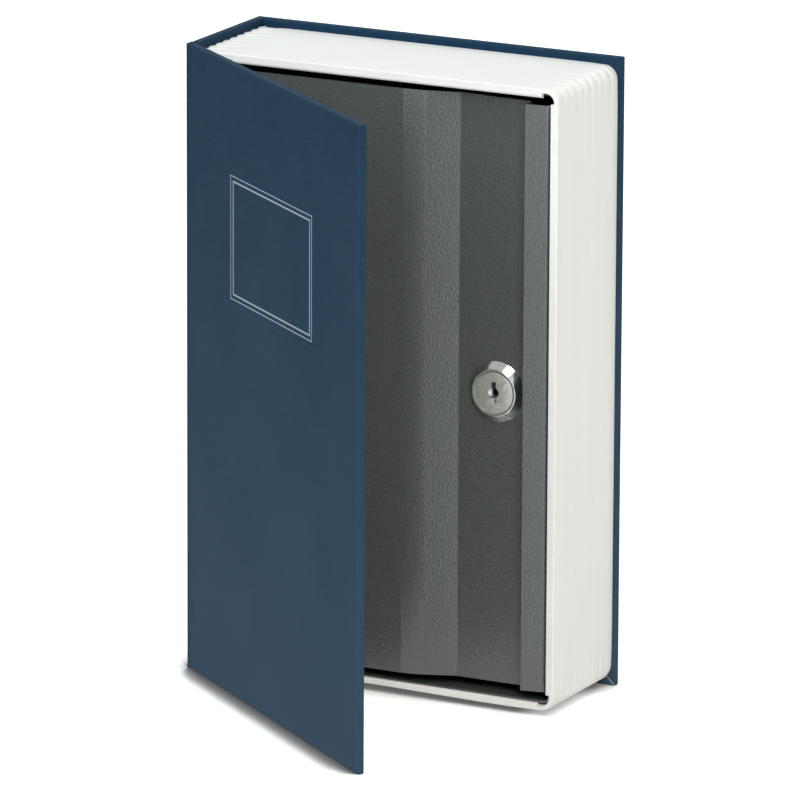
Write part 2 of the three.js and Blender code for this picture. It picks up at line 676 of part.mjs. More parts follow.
// Wafer springs: a wire along a helix, standing in the pocket under each lug
class Helix extends THREE.Curve {
  getPoint(t, target = new THREE.Vector3()) {
    const angle = t * SPRING_TURNS * Math.PI * 2;
    return target.set(
      SPRING_COIL_RADIUS * Math.cos(angle),
      SPRING_COIL_RADIUS * Math.sin(angle),
      t * SPRING_TURNS * SPRING_PITCH,
    );
  }
}
const wireSection = new THREE.Shape([
  new THREE.Vector2(SPRING_WIRE_RADIUS, 0),
  new THREE.Vector2(0, SPRING_WIRE_RADIUS),
  new THREE.Vector2(-SPRING_WIRE_RADIUS, 0),
  new THREE.Vector2(0, -SPRING_WIRE_RADIUS),
]);
for (let i = 0; i < WAFERS; i += 1) {
  const spring = new THREE.ExtrudeGeometry(wireSection, {
    steps: SPRING_TURNS * SPRING_STEPS_PER_TURN,
    extrudePath: new Helix(),
    bevelEnabled: false,
  });
  spring.translate(springX, waferY(i) + WAFER_THICKNESS / 2, springZ0);
  addPiece(`wafer_spring_${i + 1}`, spring, brightSteel);
}

// A square hole on the lock's axis that the plug's tail fills
const tailHole = (y0, y1) => {
  const half = TAIL_SIZE / 2 + TAIL_CLEARANCE;
  return block(
    [LOCK_X - half, LOCK_X + half],
    [y0 - CUT_MARGIN, y1 + CUT_MARGIN],
    [LOCK_Z - half, LOCK_Z + half],
  );
};

// Stop washer: its notch meets the housing's stop at both ends of the quarter turn
function stopWasher() {
  const y = [STOP_WASHER_Y, STOP_WASHER_Y + WASHER_THICKNESS];
  const halfStop = STOP_WIDTH_DEG / 2 + STOP_SLACK_DEG;
  return cut(
    disc(LOCK_X, LOCK_Z, STOP_RADIUS, ...y),
    tailHole(...y),
    sector(
      boreRadius,
      STOP_RADIUS + CUT_MARGIN,
      stopCentreDeg - halfStop,
      stopCentreDeg + halfStop + TURN_DEG,
      y[0] - CUT_MARGIN,
      y[1] + CUT_MARGIN,
    ),
  );
}
addPiece('stop_washer', stopWasher(), brightSteel);

// Cam: a flat arm that points up while the lock is open
function lockCam() {
  const half = CAM_WIDTH / 2;
  const y = [CAM_Y, CAM_Y + CAM_THICKNESS];
  const arm = new THREE.Shape();
  arm.absarc(LOCK_X, LOCK_Z, half, Math.PI, Math.PI * 2, false);
  arm.absarc(LOCK_X, LOCK_Z + CAM_REACH - half, half, 0, Math.PI, false);
  arm.closePath();
  return cut(push(arm, ...y), tailHole(...y));
}
addPiece('lock_cam', lockCam(), brightSteel);

// Cam screw, with a cross slot in its head
function camScrew() {
  const headY = [CAM_Y + CAM_THICKNESS + GLUE, CAM_Y + CAM_THICKNESS + GLUE + SCREW_HEAD_HEIGHT];
  const slotY = [headY[1] - SCREW_HEAD_HEIGHT / 2, headY[1] + CUT_MARGIN];
  const slotHalf = SCREW_SLOT / 2;
  const slotReach = SCREW_HEAD_RADIUS * 0.6;
  return cut(
    join(
      disc(LOCK_X, LOCK_Z, SCREW_HEAD_RADIUS, ...headY),
      disc(LOCK_X, LOCK_Z, SCREW_RADIUS, TAIL_END_Y - SCREW_DEPTH, headY[0] + CUT_MARGIN / 2),
    ),
    block([LOCK_X - slotReach, LOCK_X + slotReach], slotY, [LOCK_Z - slotHalf, LOCK_Z + slotHalf]),
    block([LOCK_X - slotHalf, LOCK_X + slotHalf], slotY, [LOCK_Z - slotReach, LOCK_Z + slotReach]),
  );
}
addPiece('cam_screw', camScrew(), brightSteel);

export default safe;
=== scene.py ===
import math

import bmesh
import bpy
from mathutils import Matrix, Vector


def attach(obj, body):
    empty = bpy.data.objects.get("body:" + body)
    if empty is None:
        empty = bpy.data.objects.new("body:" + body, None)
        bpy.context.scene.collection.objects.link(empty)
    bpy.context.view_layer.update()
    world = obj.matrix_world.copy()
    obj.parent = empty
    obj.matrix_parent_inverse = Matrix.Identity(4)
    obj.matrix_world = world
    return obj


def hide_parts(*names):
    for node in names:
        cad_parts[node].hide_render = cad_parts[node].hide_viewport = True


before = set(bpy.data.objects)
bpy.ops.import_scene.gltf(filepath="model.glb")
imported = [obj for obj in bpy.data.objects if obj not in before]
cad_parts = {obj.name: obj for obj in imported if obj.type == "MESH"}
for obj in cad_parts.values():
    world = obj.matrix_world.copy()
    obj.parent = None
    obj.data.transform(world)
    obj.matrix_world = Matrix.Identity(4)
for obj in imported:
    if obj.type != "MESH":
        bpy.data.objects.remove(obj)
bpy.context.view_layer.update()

# View of the book: a long lens on the fore-edge side, a little above the book's top.
# Lens, place and shift are fitted to the book's own corners.
CAMERA_PLACE = (1.42649, -2.80884, 0.90853)
CAMERA_YAW = math.radians(27.2274)
CAMERA_PITCH = math.radians(14.3991)
CAMERA_ROLL = math.radians(0.2474)
SENSOR_WIDTH = 36
FOCAL_LENGTH = 390.31
LENS_SHIFT_X = 0.010249
LENS_SHIFT_Y = 0.003082


def add_object(name, data):
    added = bpy.data.objects.new(name, data)
    bpy.context.scene.collection.objects.link(added)
    return added


lens = bpy.data.cameras.new("long_lens")
lens.sensor_width = SENSOR_WIDTH
lens.lens = FOCAL_LENGTH
lens.shift_x = LENS_SHIFT_X
lens.shift_y = LENS_SHIFT_Y
camera = add_object("long_lens", lens)
camera.matrix_world = (
    Matrix.Translation(CAMERA_PLACE)
    @ Matrix.Rotation(CAMERA_YAW, 4, "Z")
    @ Matrix.Rotation(math.pi / 2 - CAMERA_PITCH, 4, "X")
    @ Matrix.Rotation(CAMERA_ROLL, 4, "Z")
)
bpy.context.scene.camera = camera
bpy.context.scene.view_settings.view_transform = "Standard"


# Studio: a white room with a matt white table. Camera and mirror-like surfaces see the room as
# plain white, while the book is lit at a plain level and leaves its shade on the table.
WALL_LIGHT = 0.28
CEILING_LIGHT = 0.33
CEILING_HEIGHT = 0.8
CEILING_TINT = (0.975, 1.0, 0.95, 1)
CEILING_SEEN = 0.6
CEILING_SEEN_HEIGHT = (0.3, 0.95)
PLAIN_WHITE = (1, 1, 1, 1)


def empty_tree(owner):
    owner.use_nodes = True
    owner.node_tree.nodes.clear()
    return owner.node_tree


def add_node(tree, kind, inputs=None, **settings):
    node = tree.nodes.new(kind)
    for name, value in settings.items():
        setattr(node, name, value)
    for name, value in (inputs or {}).items():
        if isinstance(value, bpy.types.NodeSocket):
            tree.links.new(value, node.inputs[name])
        else:
            node.inputs[name].default_value = value
    return node


def rescale(tree, value, low, high, new_low, new_high):
    ends = {"From Min": low, "From Max": high, "To Min": new_low, "To Max": new_high}
    return add_node(tree, "ShaderNodeMapRange", {"Value": value, **ends}).outputs[0]


def combine(tree, operation, first, second):
    return add_node(tree, "ShaderNodeMath", {0: first, 1: second}, operation=operation).outputs[0]


def blend_colours(tree, factor, first, second):
    return add_node(tree, "ShaderNodeMix", {0: factor, 6: first, 7: second}, data_type="RGBA").outputs[2]


def light_path(tree, ray):
    return add_node(tree, "ShaderNodeLightPath").outputs[ray]


def seen_directly(tree):
    glossy = light_path(tree, "Is Glossy Ray")
    mirrored = combine(tree, "MAXIMUM", glossy, light_path(tree, "Is Transmission Ray"))
    return combine(tree, "MAXIMUM", light_path(tree, "Is Camera Ray"), mirrored)


room = bpy.data.worlds.new("white_room")
bpy.context.scene.world = room
room_tree = empty_tree(room)
direction = add_node(room_tree, "ShaderNodeTexCoord").outputs["Generated"]
height_seen = add_node(room_tree, "ShaderNodeSeparateXYZ", {0: direction}).outputs["Z"]
towards_ceiling = rescale(room_tree, height_seen, 0.0, CEILING_HEIGHT, WALL_LIGHT, CEILING_LIGHT)
ceiling_seen = rescale(room_tree, height_seen, *CEILING_SEEN_HEIGHT, 1.0, CEILING_SEEN)
plain_white = combine(room_tree, "MAXIMUM", ceiling_seen, light_path(room_tree, "Is Camera Ray"))
room_strength = add_node(
    room_tree,
    "ShaderNodeMix",
    {0: seen_directly(room_tree), 2: towards_ceiling, 3: plain_white},
    data_type="FLOAT",
)
room_background = add_node(
    room_tree,
    "ShaderNodeBackground",
    {
        "Color": blend_colours(room_tree, seen_directly(room_tree), CEILING_TINT, PLAIN_WHITE),
        "Strength": room_strength.outputs[0],
    },
)
add_node(room_tree, "ShaderNodeOutputWorld", {"Surface": room_background.outputs[0]})

# The table is plain white where it is seen, except for a narrow shade along the book's foot. It
# differs in front of the page block, on the fore-edge side and before the open cover. Each shade
# has its reach, how open to the sky the table is where the shade is darkest and where it ends,
# and its darkest tone.
TABLE_SIDE = 16
TABLE_WHITE = (0.86, 0.86, 0.86, 1)
TABLE_GLOW_NEAR = 0.52
TABLE_GLOW_FAR = 0.55
TABLE_NEAR = 0.22
TABLE_FAR = 0.9
COVER_SIDE = (-0.616, -0.788, 0)
COVER_LINE = (0.086, 0.0885)
FRONT_SHADE = (0.02, 0.15, 0.9, 0.17)
FORE_SHADE = (0.007, 0.3, 0.85, 0.55)
COVER_SHADE = (0.024, 0.595, 0.765, 0.06)
SHADE_END_Y = (-0.1, -0.085)
FORE_SIDE_X = (0.058, 0.066)
FORE_SIDE_Y = (-0.02, -0.008)
GLOW_LOST_IN_MIRRORS = 0.4


def object_place(tree):
    return add_node(tree, "ShaderNodeTexCoord").outputs["Object"]


table_finish = bpy.data.materials.new("white_table")
table_tree = empty_tree(table_finish)
table_matt = add_node(table_tree, "ShaderNodeBsdfDiffuse", {"Color": TABLE_WHITE})
table_place = object_place(table_tree)
table_reach = add_node(table_tree, "ShaderNodeVectorMath", {0: table_place}, operation="LENGTH")
table_fade = rescale(
    table_tree, table_reach.outputs["Value"], TABLE_NEAR, TABLE_FAR, TABLE_GLOW_NEAR, TABLE_GLOW_FAR
)
table_side = add_node(
    table_tree, "ShaderNodeVectorMath", {0: table_place, 1: COVER_SIDE}, operation="DOT_PRODUCT"
)
before_cover = rescale(table_tree, table_side.outputs["Value"], *COVER_LINE, 0.0, 1.0)
table_axes = add_node(table_tree, "ShaderNodeSeparateXYZ", {0: table_place}).outputs
past_fore_edge = rescale(table_tree, table_axes["X"], *FORE_SIDE_X, 0.0, 1.0)
on_fore_side = rescale(table_tree, table_axes["Y"], *FORE_SIDE_Y, past_fore_edge, 0.0)


def by_side(front, fore, cover):
    beside_block = rescale(table_tree, on_fore_side, 0.0, 1.0, front, fore)
    return rescale(table_tree, before_cover, 0.0, 1.0, beside_block, cover)


shades = zip(FRONT_SHADE, FORE_SHADE, COVER_SHADE)
reach, shade_low, shade_high, darkest = (by_side(*values) for values in shades)
openness = add_node(table_tree, "ShaderNodeAmbientOcclusion", {"Distance": reach}, samples=8).outputs["AO"]
contact_shade = rescale(table_tree, openness, shade_low, shade_high, darkest, 1.0)
far_from_block = rescale(table_tree, table_axes["Y"], *SHADE_END_Y, 1.0, 0.0)
unshaded = combine(table_tree, "SUBTRACT", far_from_block, before_cover)
table_shade = combine(table_tree, "MAXIMUM", contact_shade, unshaded)
table_mirrored = light_path(table_tree, "Is Glossy Ray")
table_shown = combine(table_tree, "MAXIMUM", table_shade, table_mirrored)
kept_glow = rescale(table_tree, table_mirrored, 0.0, 1.0, 1.0, 1 - GLOW_LOST_IN_MIRRORS)
table_glow = add_node(
    table_tree,
    "ShaderNodeEmission",
    {"Color": table_shown, "Strength": combine(table_tree, "MULTIPLY", table_fade, kept_glow)},
)
table_pale = add_node(table_tree, "ShaderNodeBsdfDiffuse", {"Color": table_shown})
table_seen = add_node(
    table_tree, "ShaderNodeAddShader", {0: table_pale.outputs[0], 1: table_glow.outputs[0]}
)
table_mix = add_node(
    table_tree,
    "ShaderNodeMixShader",
    {0: seen_directly(table_tree), 1: table_matt.outputs[0], 2: table_seen.outputs[0]},
)
add_node(table_tree, "ShaderNodeOutputMaterial", {"Surface": table_mix.outputs[0]})
table_bm = bmesh.new()
bmesh.ops.create_grid(table_bm, x_segments=2, y_segments=2, size=TABLE_SIDE / 2)
table_mesh = bpy.data.meshes.new("table_top")
table_bm.to_mesh(table_mesh)
table_bm.free()
table_mesh.materials.append(table_finish)
add_object("table_top", table_mesh)

BOOK_MIDDLE = (0, -0.03, 0.12)


def hang_lamp(name, place, side, power, colour):
    light = bpy.data.lights.new(name, "AREA")
    light.shape = "DISK"
    light.size = side
    light.energy = power
    light.color = colour
    toward = Vector(BOOK_MIDDLE) - Vector(place)
    turned = toward.to_track_quat("-Z", "Y").to_matrix().to_4x4()
    add_object(name, light).matrix_world = Matrix.Translation(place) @ turned


hang_lamp("right_softbox", (1.67, -2.08, 1.73), 0.9, 44, (1.0, 0.93, 0.945))
hang_lamp("front_softbox", (0.82, -1.36, 2.71), 1.2, 27, (0.98, 1.0, 0.93))
hang_lamp("left_softbox", (-1.04, -1.83, 1.68), 1.5, 27, (0.72, 0.86, 1.0))
hang_lamp("back_softbox", (0.26, 2.05, 1.68), 1.2, 10, (0.95, 1.0, 0.94))


# Book case: two boards and a spine in one dark blue cloth, glued on and turned in at the edges
# with mitred corners. Back cover and spine are one piece; the cloth runs on to the fold.
MM = 0.001
NEAR = 0.001 * MM
BOOK_HEIGHT = 240 * MM
SPINE_X = -76.25 * MM
FORE_X = 76.25 * MM
BACK_Y = 1.5 * MM
COVER_THICKNESS = 3 * MM
BACK_INNER_Y = BACK_Y - COVER_THICKNESS
SPINE_END_Y = -51.2 * MM
FOLD_Y = -54.5 * MM
CLOTH_THICKNESS = 0.4 * MM
CLOTH_ROUNDING = 0.4 * MM
TURN_IN = 15 * MM
WEAR_WIDTH = 1.6 * MM
CLOTH_LEVELS = (WEAR_WIDTH, TURN_IN, BOOK_HEIGHT - TURN_IN, BOOK_HEIGHT - WEAR_WIDTH)
WORN_FACE_WIDTH = 0.3 * MM
CLOTH_FLAT_OVER = 0.5 * MM
MITRE_WIDTH = 0.3 * MM
MITRE_DEPTH = 0.14 * MM
FOLD_GAP = 0.42 * MM
COVER_GAP = 0.12 * MM
FLAP_THICKNESS = 0.1 * MM
CLOTH_DARK = (19, 46, 67)
CLOTH_LIGHT = (28, 55, 75)
# The next colour is a painted sheen at the cloth's foot and also the tone of its random blotches.
CLOTH_SHEEN_AND_BLOTCH = (50, 70, 87)
CLOTH_RUBBED = (75, 96, 116)
CLOTH_CUT = (176, 184, 190)
CLOTH_RELIEF = 0.04 * MM


def start_finish(name, roughness, **sockets):
    material = bpy.data.materials.new(name)
    tree = empty_tree(material)
    shader = add_node(tree, "ShaderNodeBsdfPrincipled", {"Roughness": roughness, **sockets})
    add_node(tree, "ShaderNodeOutputMaterial", {"Surface": shader.outputs[0]})
    return material, tree, shader


def cover_surface(tree, shader, colour, height, relief, roughness=None, strength=1.0):
    tree.links.new(colour, shader.inputs["Base Color"])
    if roughness is not None:
        tree.links.new(roughness, shader.inputs["Roughness"])
    bump = add_node(tree, "ShaderNodeBump", {"Height": height, "Distance": relief, "Strength": strength})
    tree.links.new(bump.outputs[0], shader.inputs["Normal"])


def srgb(colour):
    channels = [value / 255 for value in colour]
    return tuple(c / 12.92 if c <= 0.04045 else ((c + 0.055) / 1.055) ** 2.4 for c in channels) + (1,)


def two_tone(tree, pattern, low, high, dark, light):
    return blend_colours(tree, rescale(tree, pattern, low, high, 0.0, 1.0), srgb(dark), srgb(light))


def overlay(tree, colour, pattern, low, high, strongest, over):
    return blend_colours(tree, rescale(tree, pattern, low, high, 0.0, strongest), colour, srgb(over))


def weighted_sum(tree, *shares):
    parts = [combine(tree, "MULTIPLY", value, share) for value, share in shares]
    return combine(tree, "ADD", *parts)


def noise(tree, coordinates, scale, detail=2.0, rough=0.5, stretch=(1, 1, 1)):
    mapped = add_node(tree, "ShaderNodeMapping", {"Vector": coordinates, "Scale": stretch})
    texture = add_node(
        tree,
        "ShaderNodeTexNoise",
        {"Vector": mapped.outputs[0], "Scale": scale, "Detail": detail, "Roughness": rough},
    )
    return texture.outputs["Fac"]


def weave_place(tree):
    return add_node(tree, "ShaderNodeUVMap", uv_map="weave").outputs[0]


def attribute(tree, name):
    return add_node(tree, "ShaderNodeAttribute", attribute_name=name).outputs["Fac"]


def thread(tree, weave, direction):
    wave = add_node(
        tree,
        "ShaderNodeTexWave",
        {"Vector": weave, "Scale": 0.62, "Distortion": 1.2, "Detail": 2.0, "Detail Scale": 1.5},
        wave_type="BANDS",
        bands_direction=direction,
    )
    return wave.outputs["Fac"]


def book_cloth():
    material, tree, shader = start_finish(
        "blue_book_cloth", 0.6, **{"Sheen Weight": 0.01, "Sheen Roughness": 0.5, "Specular IOR Level": 0.02}
    )
    weave = weave_place(tree)
    crossed = combine(tree, "MULTIPLY", thread(tree, weave, "X"), thread(tree, weave, "Y"))
    grain = noise(tree, weave, scale=1.6, detail=3.0, rough=0.6)
    slub = noise(tree, weave, scale=0.9, stretch=(0.12, 1.6, 1))
    blotch = noise(tree, weave, scale=0.022, detail=3.0)
    tone = weighted_sum(tree, (grain, 0.6), (slub, 0.4))
    height_up = add_node(tree, "ShaderNodeSeparateXYZ", {0: object_place(tree)}).outputs["Z"]
    # Painted sheen: the cloth is lighter towards its foot, in place of light reflected from the table, with
    # random lighter and darker blotches over it.
    foot_sheen_and_blotch = combine(
        tree,
        "ADD",
        rescale(tree, height_up, 0.0, BOOK_HEIGHT, 0.95, 0.0),
        rescale(tree, blotch, 0.35, 0.65, -0.1, 0.12),
    )
    base = two_tone(tree, tone, 0.3, 0.7, CLOTH_DARK, CLOTH_LIGHT)
    sheened_and_blotched = blend_colours(tree, foot_sheen_and_blotch, base, srgb(CLOTH_SHEEN_AND_BLOTCH))
    rubbing = combine(tree, "MULTIPLY", attribute(tree, "worn"), rescale(tree, grain, 0.35, 0.65, 0.0, 0.2))
    rubbed = blend_colours(tree, rubbing, sheened_and_blotched, srgb(CLOTH_RUBBED))
    fraying = combine(tree, "MULTIPLY", attribute(tree, "cut_edge"), 0.85)
    colour = blend_colours(tree, fraying, rubbed, srgb(CLOTH_CUT))
    roughness = rescale(tree, tone, 0.3, 0.7, 0.62, 0.48)
    height = weighted_sum(tree, (crossed, 0.35), (tone, 0.8))
    cover_surface(tree, shader, colour, height, CLOTH_RELIEF, roughness)
    return material


blue_cloth = book_cloth()


def is_rounding(face, flat_over):
    longest = max(edge.calc_length() for edge in face.edges)
    return face.calc_area() < flat_over * longest


def make_piece(name, bm, finish, body, nodes=(), crease=35, flat_over=1.5 * MM):
    for face in bm.faces:
        face.smooth = is_rounding(face, flat_over)
    for edge in bm.edges:
        if len(edge.link_faces) == 2 and edge.calc_face_angle() > math.radians(crease):
            edge.smooth = False
    mesh = bpy.data.meshes.new(name)
    bm.to_mesh(mesh)
    bm.free()
    mesh.materials.append(finish)
    piece = add_object(name, mesh)
    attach(piece, body)
    if nodes:
        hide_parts(*nodes)


def verts_in(geometry):
    return [item for item in geometry if isinstance(item, bmesh.types.BMVert)]


def slab(bm, low, high):
    made = bmesh.ops.create_cube(bm, size=1)["verts"]
    size = Vector(high) - Vector(low)
    bmesh.ops.scale(bm, vec=size, verts=made)
    bmesh.ops.translate(bm, vec=(Vector(high) + Vector(low)) / 2, verts=made)
    return made


def score(bm, place, direction, faces=None):
    faces = bm.faces[:] if faces is None else faces
    edges = {edge for face in faces for edge in face.edges}
    verts = {vert for face in faces for vert in face.verts}
    return bmesh.ops.bisect_plane(
        bm,
        geom=list(verts) + list(edges) + list(faces),
        plane_co=place,
        plane_no=direction,
        dist=NEAR / 10,
    )


def score_at(bm, direction, places):
    for place in places:
        score(bm, Vector(direction) * place, direction)


def round_edges(bm, edges, offset, segments=3):
    return bmesh.ops.bevel(
        bm,
        geom=edges,
        offset=offset,
        segments=segments,
        profile=0.5,
        affect="EDGES",
        material=-1,
    )


def face_outward(bm):
    bmesh.ops.recalc_face_normals(bm, faces=bm.faces)


def close_up(bm):
    bmesh.ops.remove_doubles(bm, verts=bm.verts, dist=NEAR)
    face_outward(bm)


def thicken(bm, thickness):
    bmesh.ops.solidify(bm, geom=bm.faces[:], thickness=thickness)


def middle_of(edge):
    return (edge.verts[0].co + edge.verts[1].co) / 2


def lies_at(edge, axis, level):
    return all(abs(getattr(vert.co, axis) - level) < NEAR for vert in edge.verts)


def lay_weave(bm):
    weave = bm.loops.layers.uv.new("weave")
    for face in bm.faces:
        across = [abs(value) for value in face.normal]
        for loop in face.loops:
            x, y, z = loop.vert.co / MM
            if across[1] == max(across):
                loop[weave].uv = (x, z)
            elif across[0] == max(across):
                loop[weave].uv = (y, z)
            else:
                loop[weave].uv = (x, y)


def wear_edges(bm):
    worn = bm.verts.layers.float.new("worn")
    for face in bm.faces:
        if is_rounding(face, WORN_FACE_WIDTH):
            for vert in face.verts:
                vert[worn] = 1.0


def is_in_corner(face, corner_x, corner_z, inner_y):
    centre = face.calc_center_median()
    in_reach = abs(centre.x - corner_x) < TURN_IN and abs(centre.z - corner_z) < TURN_IN
    return in_reach and abs(centre.y - inner_y) < NEAR


def mitre(bm, corner_x, corner_z, inward, inner_y, frayed=0.0):
    cut_edge = bm.verts.layers.float.get("cut_edge") or bm.verts.layers.float.new("cut_edge")
    corner_faces = [face for face in bm.faces if is_in_corner(face, corner_x, corner_z, inner_y)]
    place = Vector((corner_x, 0, corner_z))
    direction = Vector((inward[1], 0, -inward[0])).normalized()
    cuts = score(bm, place, direction, corner_faces)["geom_cut"]
    creases = [item for item in cuts if isinstance(item, bmesh.types.BMEdge)]
    creases = [edge for edge in creases if lies_at(edge, "y", inner_y)]
    made = round_edges(bm, creases, MITRE_WIDTH, segments=2)
    valley = [
        vert
        for vert in made["verts"]
        if abs((vert.co - place).dot(direction)) < NEAR and abs(vert.co.y - inner_y) < NEAR
    ]
    depth = -MITRE_DEPTH if inner_y > 0 else MITRE_DEPTH
    bmesh.ops.translate(bm, vec=(0, depth, 0), verts=valley)
    for vert in valley:
        vert[cut_edge] = frayed


# Outside of back cover and spine as one folded piece, open where the boards' lining goes
case_bm = bmesh.new()
case_outline = [
    case_bm.verts.new((x, y, 0))
    for x, y in (
        (FORE_X, BACK_Y),
        (SPINE_X, BACK_Y),
        (SPINE_X, SPINE_END_Y),
        (SPINE_X + COVER_THICKNESS, SPINE_END_Y),
        (SPINE_X + COVER_THICKNESS, BACK_INNER_Y),
        (FORE_X, BACK_INNER_Y),
    )
]
case_foot = case_bm.faces.new(case_outline)
case_rise = bmesh.ops.extrude_face_region(case_bm, geom=[case_foot])["geom"]
bmesh.ops.translate(case_bm, vec=(0, 0, BOOK_HEIGHT), verts=verts_in(case_rise))
close_up(case_bm)


def stays_sharp(edge):
    middle = middle_of(edge)
    upright = abs(edge.verts[0].co.z - edge.verts[1].co.z) > NEAR
    at_fold = abs(middle.y - SPINE_END_Y) < NEAR and abs(middle.x - SPINE_X) < NEAR
    at_hollow = abs(middle.x - SPINE_X - COVER_THICKNESS) < NEAR and abs(middle.y - BACK_INNER_Y) < NEAR
    return upright and (at_fold or at_hollow)


def is_lined(face):
    centre = face.calc_center_median()
    on_back = abs(centre.y - BACK_INNER_Y) < NEAR and centre.x < FORE_X - TURN_IN
    in_spine = abs(centre.x - SPINE_X - COVER_THICKNESS) < NEAR
    return TURN_IN < centre.z < BOOK_HEIGHT - TURN_IN and (on_back or in_spine)


round_edges(case_bm, [edge for edge in case_bm.edges if not stays_sharp(edge)], CLOTH_ROUNDING)
score_at(case_bm, (0, 0, 1), CLOTH_LEVELS)
score_at(case_bm, (1, 0, 0), (SPINE_X + WEAR_WIDTH, FORE_X - TURN_IN, FORE_X - WEAR_WIDTH))
spine_side = [face for face in case_bm.faces if face.calc_center_median().x < SPINE_X + NEAR]
score(case_bm, (0, BACK_Y - WEAR_WIDTH, 0), (0, 1, 0), spine_side)
bmesh.ops.delete(case_bm, geom=[face for face in case_bm.faces if is_lined(face)], context="FACES")
mitre(case_bm, FORE_X, 0, (-1, 1), BACK_INNER_Y, frayed=1.0)
mitre(case_bm, FORE_X, BOOK_HEIGHT, (-1, -1), BACK_INNER_Y)
thicken(case_bm, CLOTH_THICKNESS)

# The strip of cloth from the spine to the fold, thin enough for the closed cover to clear it
slab(case_bm, (SPINE_X, FOLD_Y + FOLD_GAP, 0), (SPINE_X + FLAP_THICKNESS, SPINE_END_Y, BOOK_HEIGHT))
wear_edges(case_bm)
lay_weave(case_bm)
case_nodes = ["back_cloth", "spine_cloth"]
make_piece("case_cloth", case_bm, blue_cloth, "case", case_nodes, flat_over=CLOTH_FLAT_OVER)


# Front cover: the same cloth over its own board, standing open on the fold. It is drawn closed
# flat, x from the fold to the fore-edge and y from the outer to the inner face, and then turned.
REST_OPENING = math.radians(38)
COVER_WIDTH = FORE_X - SPINE_X
HINGE_LAP = 4 * MM
open_cover = Matrix.Translation((SPINE_X, FOLD_Y, 0)) @ Matrix.Rotation(-REST_OPENING, 4, "Z")

cover_bm = bmesh.new()
slab(cover_bm, (COVER_GAP, 0, 0), (COVER_WIDTH, COVER_THICKNESS, BOOK_HEIGHT))
round_edges(cover_bm, cover_bm.edges[:], CLOTH_ROUNDING)
score_at(cover_bm, (0, 0, 1), CLOTH_LEVELS)
score_at(cover_bm, (1, 0, 0), (WEAR_WIDTH, HINGE_LAP, COVER_WIDTH - TURN_IN, COVER_WIDTH - WEAR_WIDTH))


def is_inside_turn_in(point):
    return HINGE_LAP < point.x < COVER_WIDTH - TURN_IN and TURN_IN < point.z < BOOK_HEIGHT - TURN_IN


lined = [
    face
    for face in cover_bm.faces
    if abs(face.calc_center_median().y - COVER_THICKNESS) < NEAR
    and is_inside_turn_in(face.calc_center_median())
]
bmesh.ops.delete(cover_bm, geom=lined, context="FACES")
mitre(cover_bm, COVER_WIDTH, 0, (-1, 1), COVER_THICKNESS)
mitre(cover_bm, COVER_WIDTH, BOOK_HEIGHT, (-1, -1), COVER_THICKNESS)
thicken(cover_bm, CLOTH_THICKNESS)
wear_edges(cover_bm)
lay_weave(cover_bm)
bmesh.ops.transform(cover_bm, matrix=open_cover, verts=cover_bm.verts)
cover_nodes = ["front_cloth"]
make_piece(
    "cover_cloth", cover_bm, blue_cloth, "front_cover", cover_nodes, flat_over=CLOTH_FLAT_OVER
)


# Fold: a thin roll of the doubled cloth on the corner line that the front cover swings about, in
# place of the soft bend that real cloth makes there.
FOLD_RADIUS = 0.4 * MM
FOLD_END_RADIUS = 0.28 * MM
FOLD_END_ROUNDING = 0.2 * MM
fold_bm = bmesh.new()
fold_profile = [
    fold_bm.verts.new((SPINE_X + radius, FOLD_Y, height))
    for radius, height in (
        (0, 0),
        (FOLD_END_RADIUS, 0),
        (FOLD_RADIUS, FOLD_END_ROUNDING),
        (FOLD_RADIUS, BOOK_HEIGHT - FOLD_END_ROUNDING),
        (FOLD_END_RADIUS, BOOK_HEIGHT),
        (0, BOOK_HEIGHT),
    )
]
for lower, upper in zip(fold_profile, fold_profile[1:]):
    fold_bm.edges.new((lower, upper))
bmesh.ops.spin(
    fold_bm,
    geom=fold_bm.verts[:] + fold_bm.edges[:],
    cent=(SPINE_X, FOLD_Y, 0),
    axis=(0, 0, 1),
    angle=2 * math.pi,
    steps=20,
    use_merge=True,
)
close_up(fold_bm)
lay_weave(fold_bm)
make_piece("fold_cloth", fold_bm, blue_cloth, "cover_fold", ["cover_fold"])


# Title frame: two plain lines of pale foil, pressed into the cloth with a hot die. The place
# inside them stays bare. Each line has its left, lower, right and upper side and its width.
OUTER_LINE = (39.6 * MM, 151.7 * MM, 112.35 * MM, 198.45 * MM, 0.38 * MM)
INNER_LINE = (41.75 * MM, 153.5 * MM, 110.75 * MM, 196.7 * MM, 0.62 * MM)
FOIL_PROUD = 0.05 * MM
FOIL_THICKNESS = 0.08 * MM
FOIL_DULL = (114, 131, 142)
FOIL_BRIGHT = (154, 165, 171)
FOIL_RELIEF = 0.03 * MM


def title_foil():
    material, tree, shader = start_finish("pale_foil", 0.45, **{"Metallic": 0.2})
    speckle = noise(tree, weave_place(tree), scale=3.0, detail=3.0, rough=0.7)
    colour = two_tone(tree, speckle, 0.35, 0.6, FOIL_DULL, FOIL_BRIGHT)
    cover_surface(tree, shader, colour, speckle, FOIL_RELIEF)
    return material


foil_bm = bmesh.new()
for left, foot, right, head, width in (OUTER_LINE, INNER_LINE):
    corners = ((left, foot), (right, foot), (right, head), (left, head))
    panel = foil_bm.faces.new([foil_bm.verts.new((x, -FOIL_PROUD, z)) for x, z in corners])
    panel.normal_update()
    bmesh.ops.inset_region(foil_bm, faces=[panel], thickness=width, use_boundary=True, use_even_offset=True)
    bmesh.ops.delete(foil_bm, geom=[panel], context="FACES_ONLY")
foil_bm.normal_update()
thicken(foil_bm, FOIL_THICKNESS)
face_outward(foil_bm)
lay_weave(foil_bm)
bmesh.ops.transform(foil_bm, matrix=open_cover, verts=foil_bm.verts)
make_piece("title_frame", foil_bm, title_foil(), "front_cover")


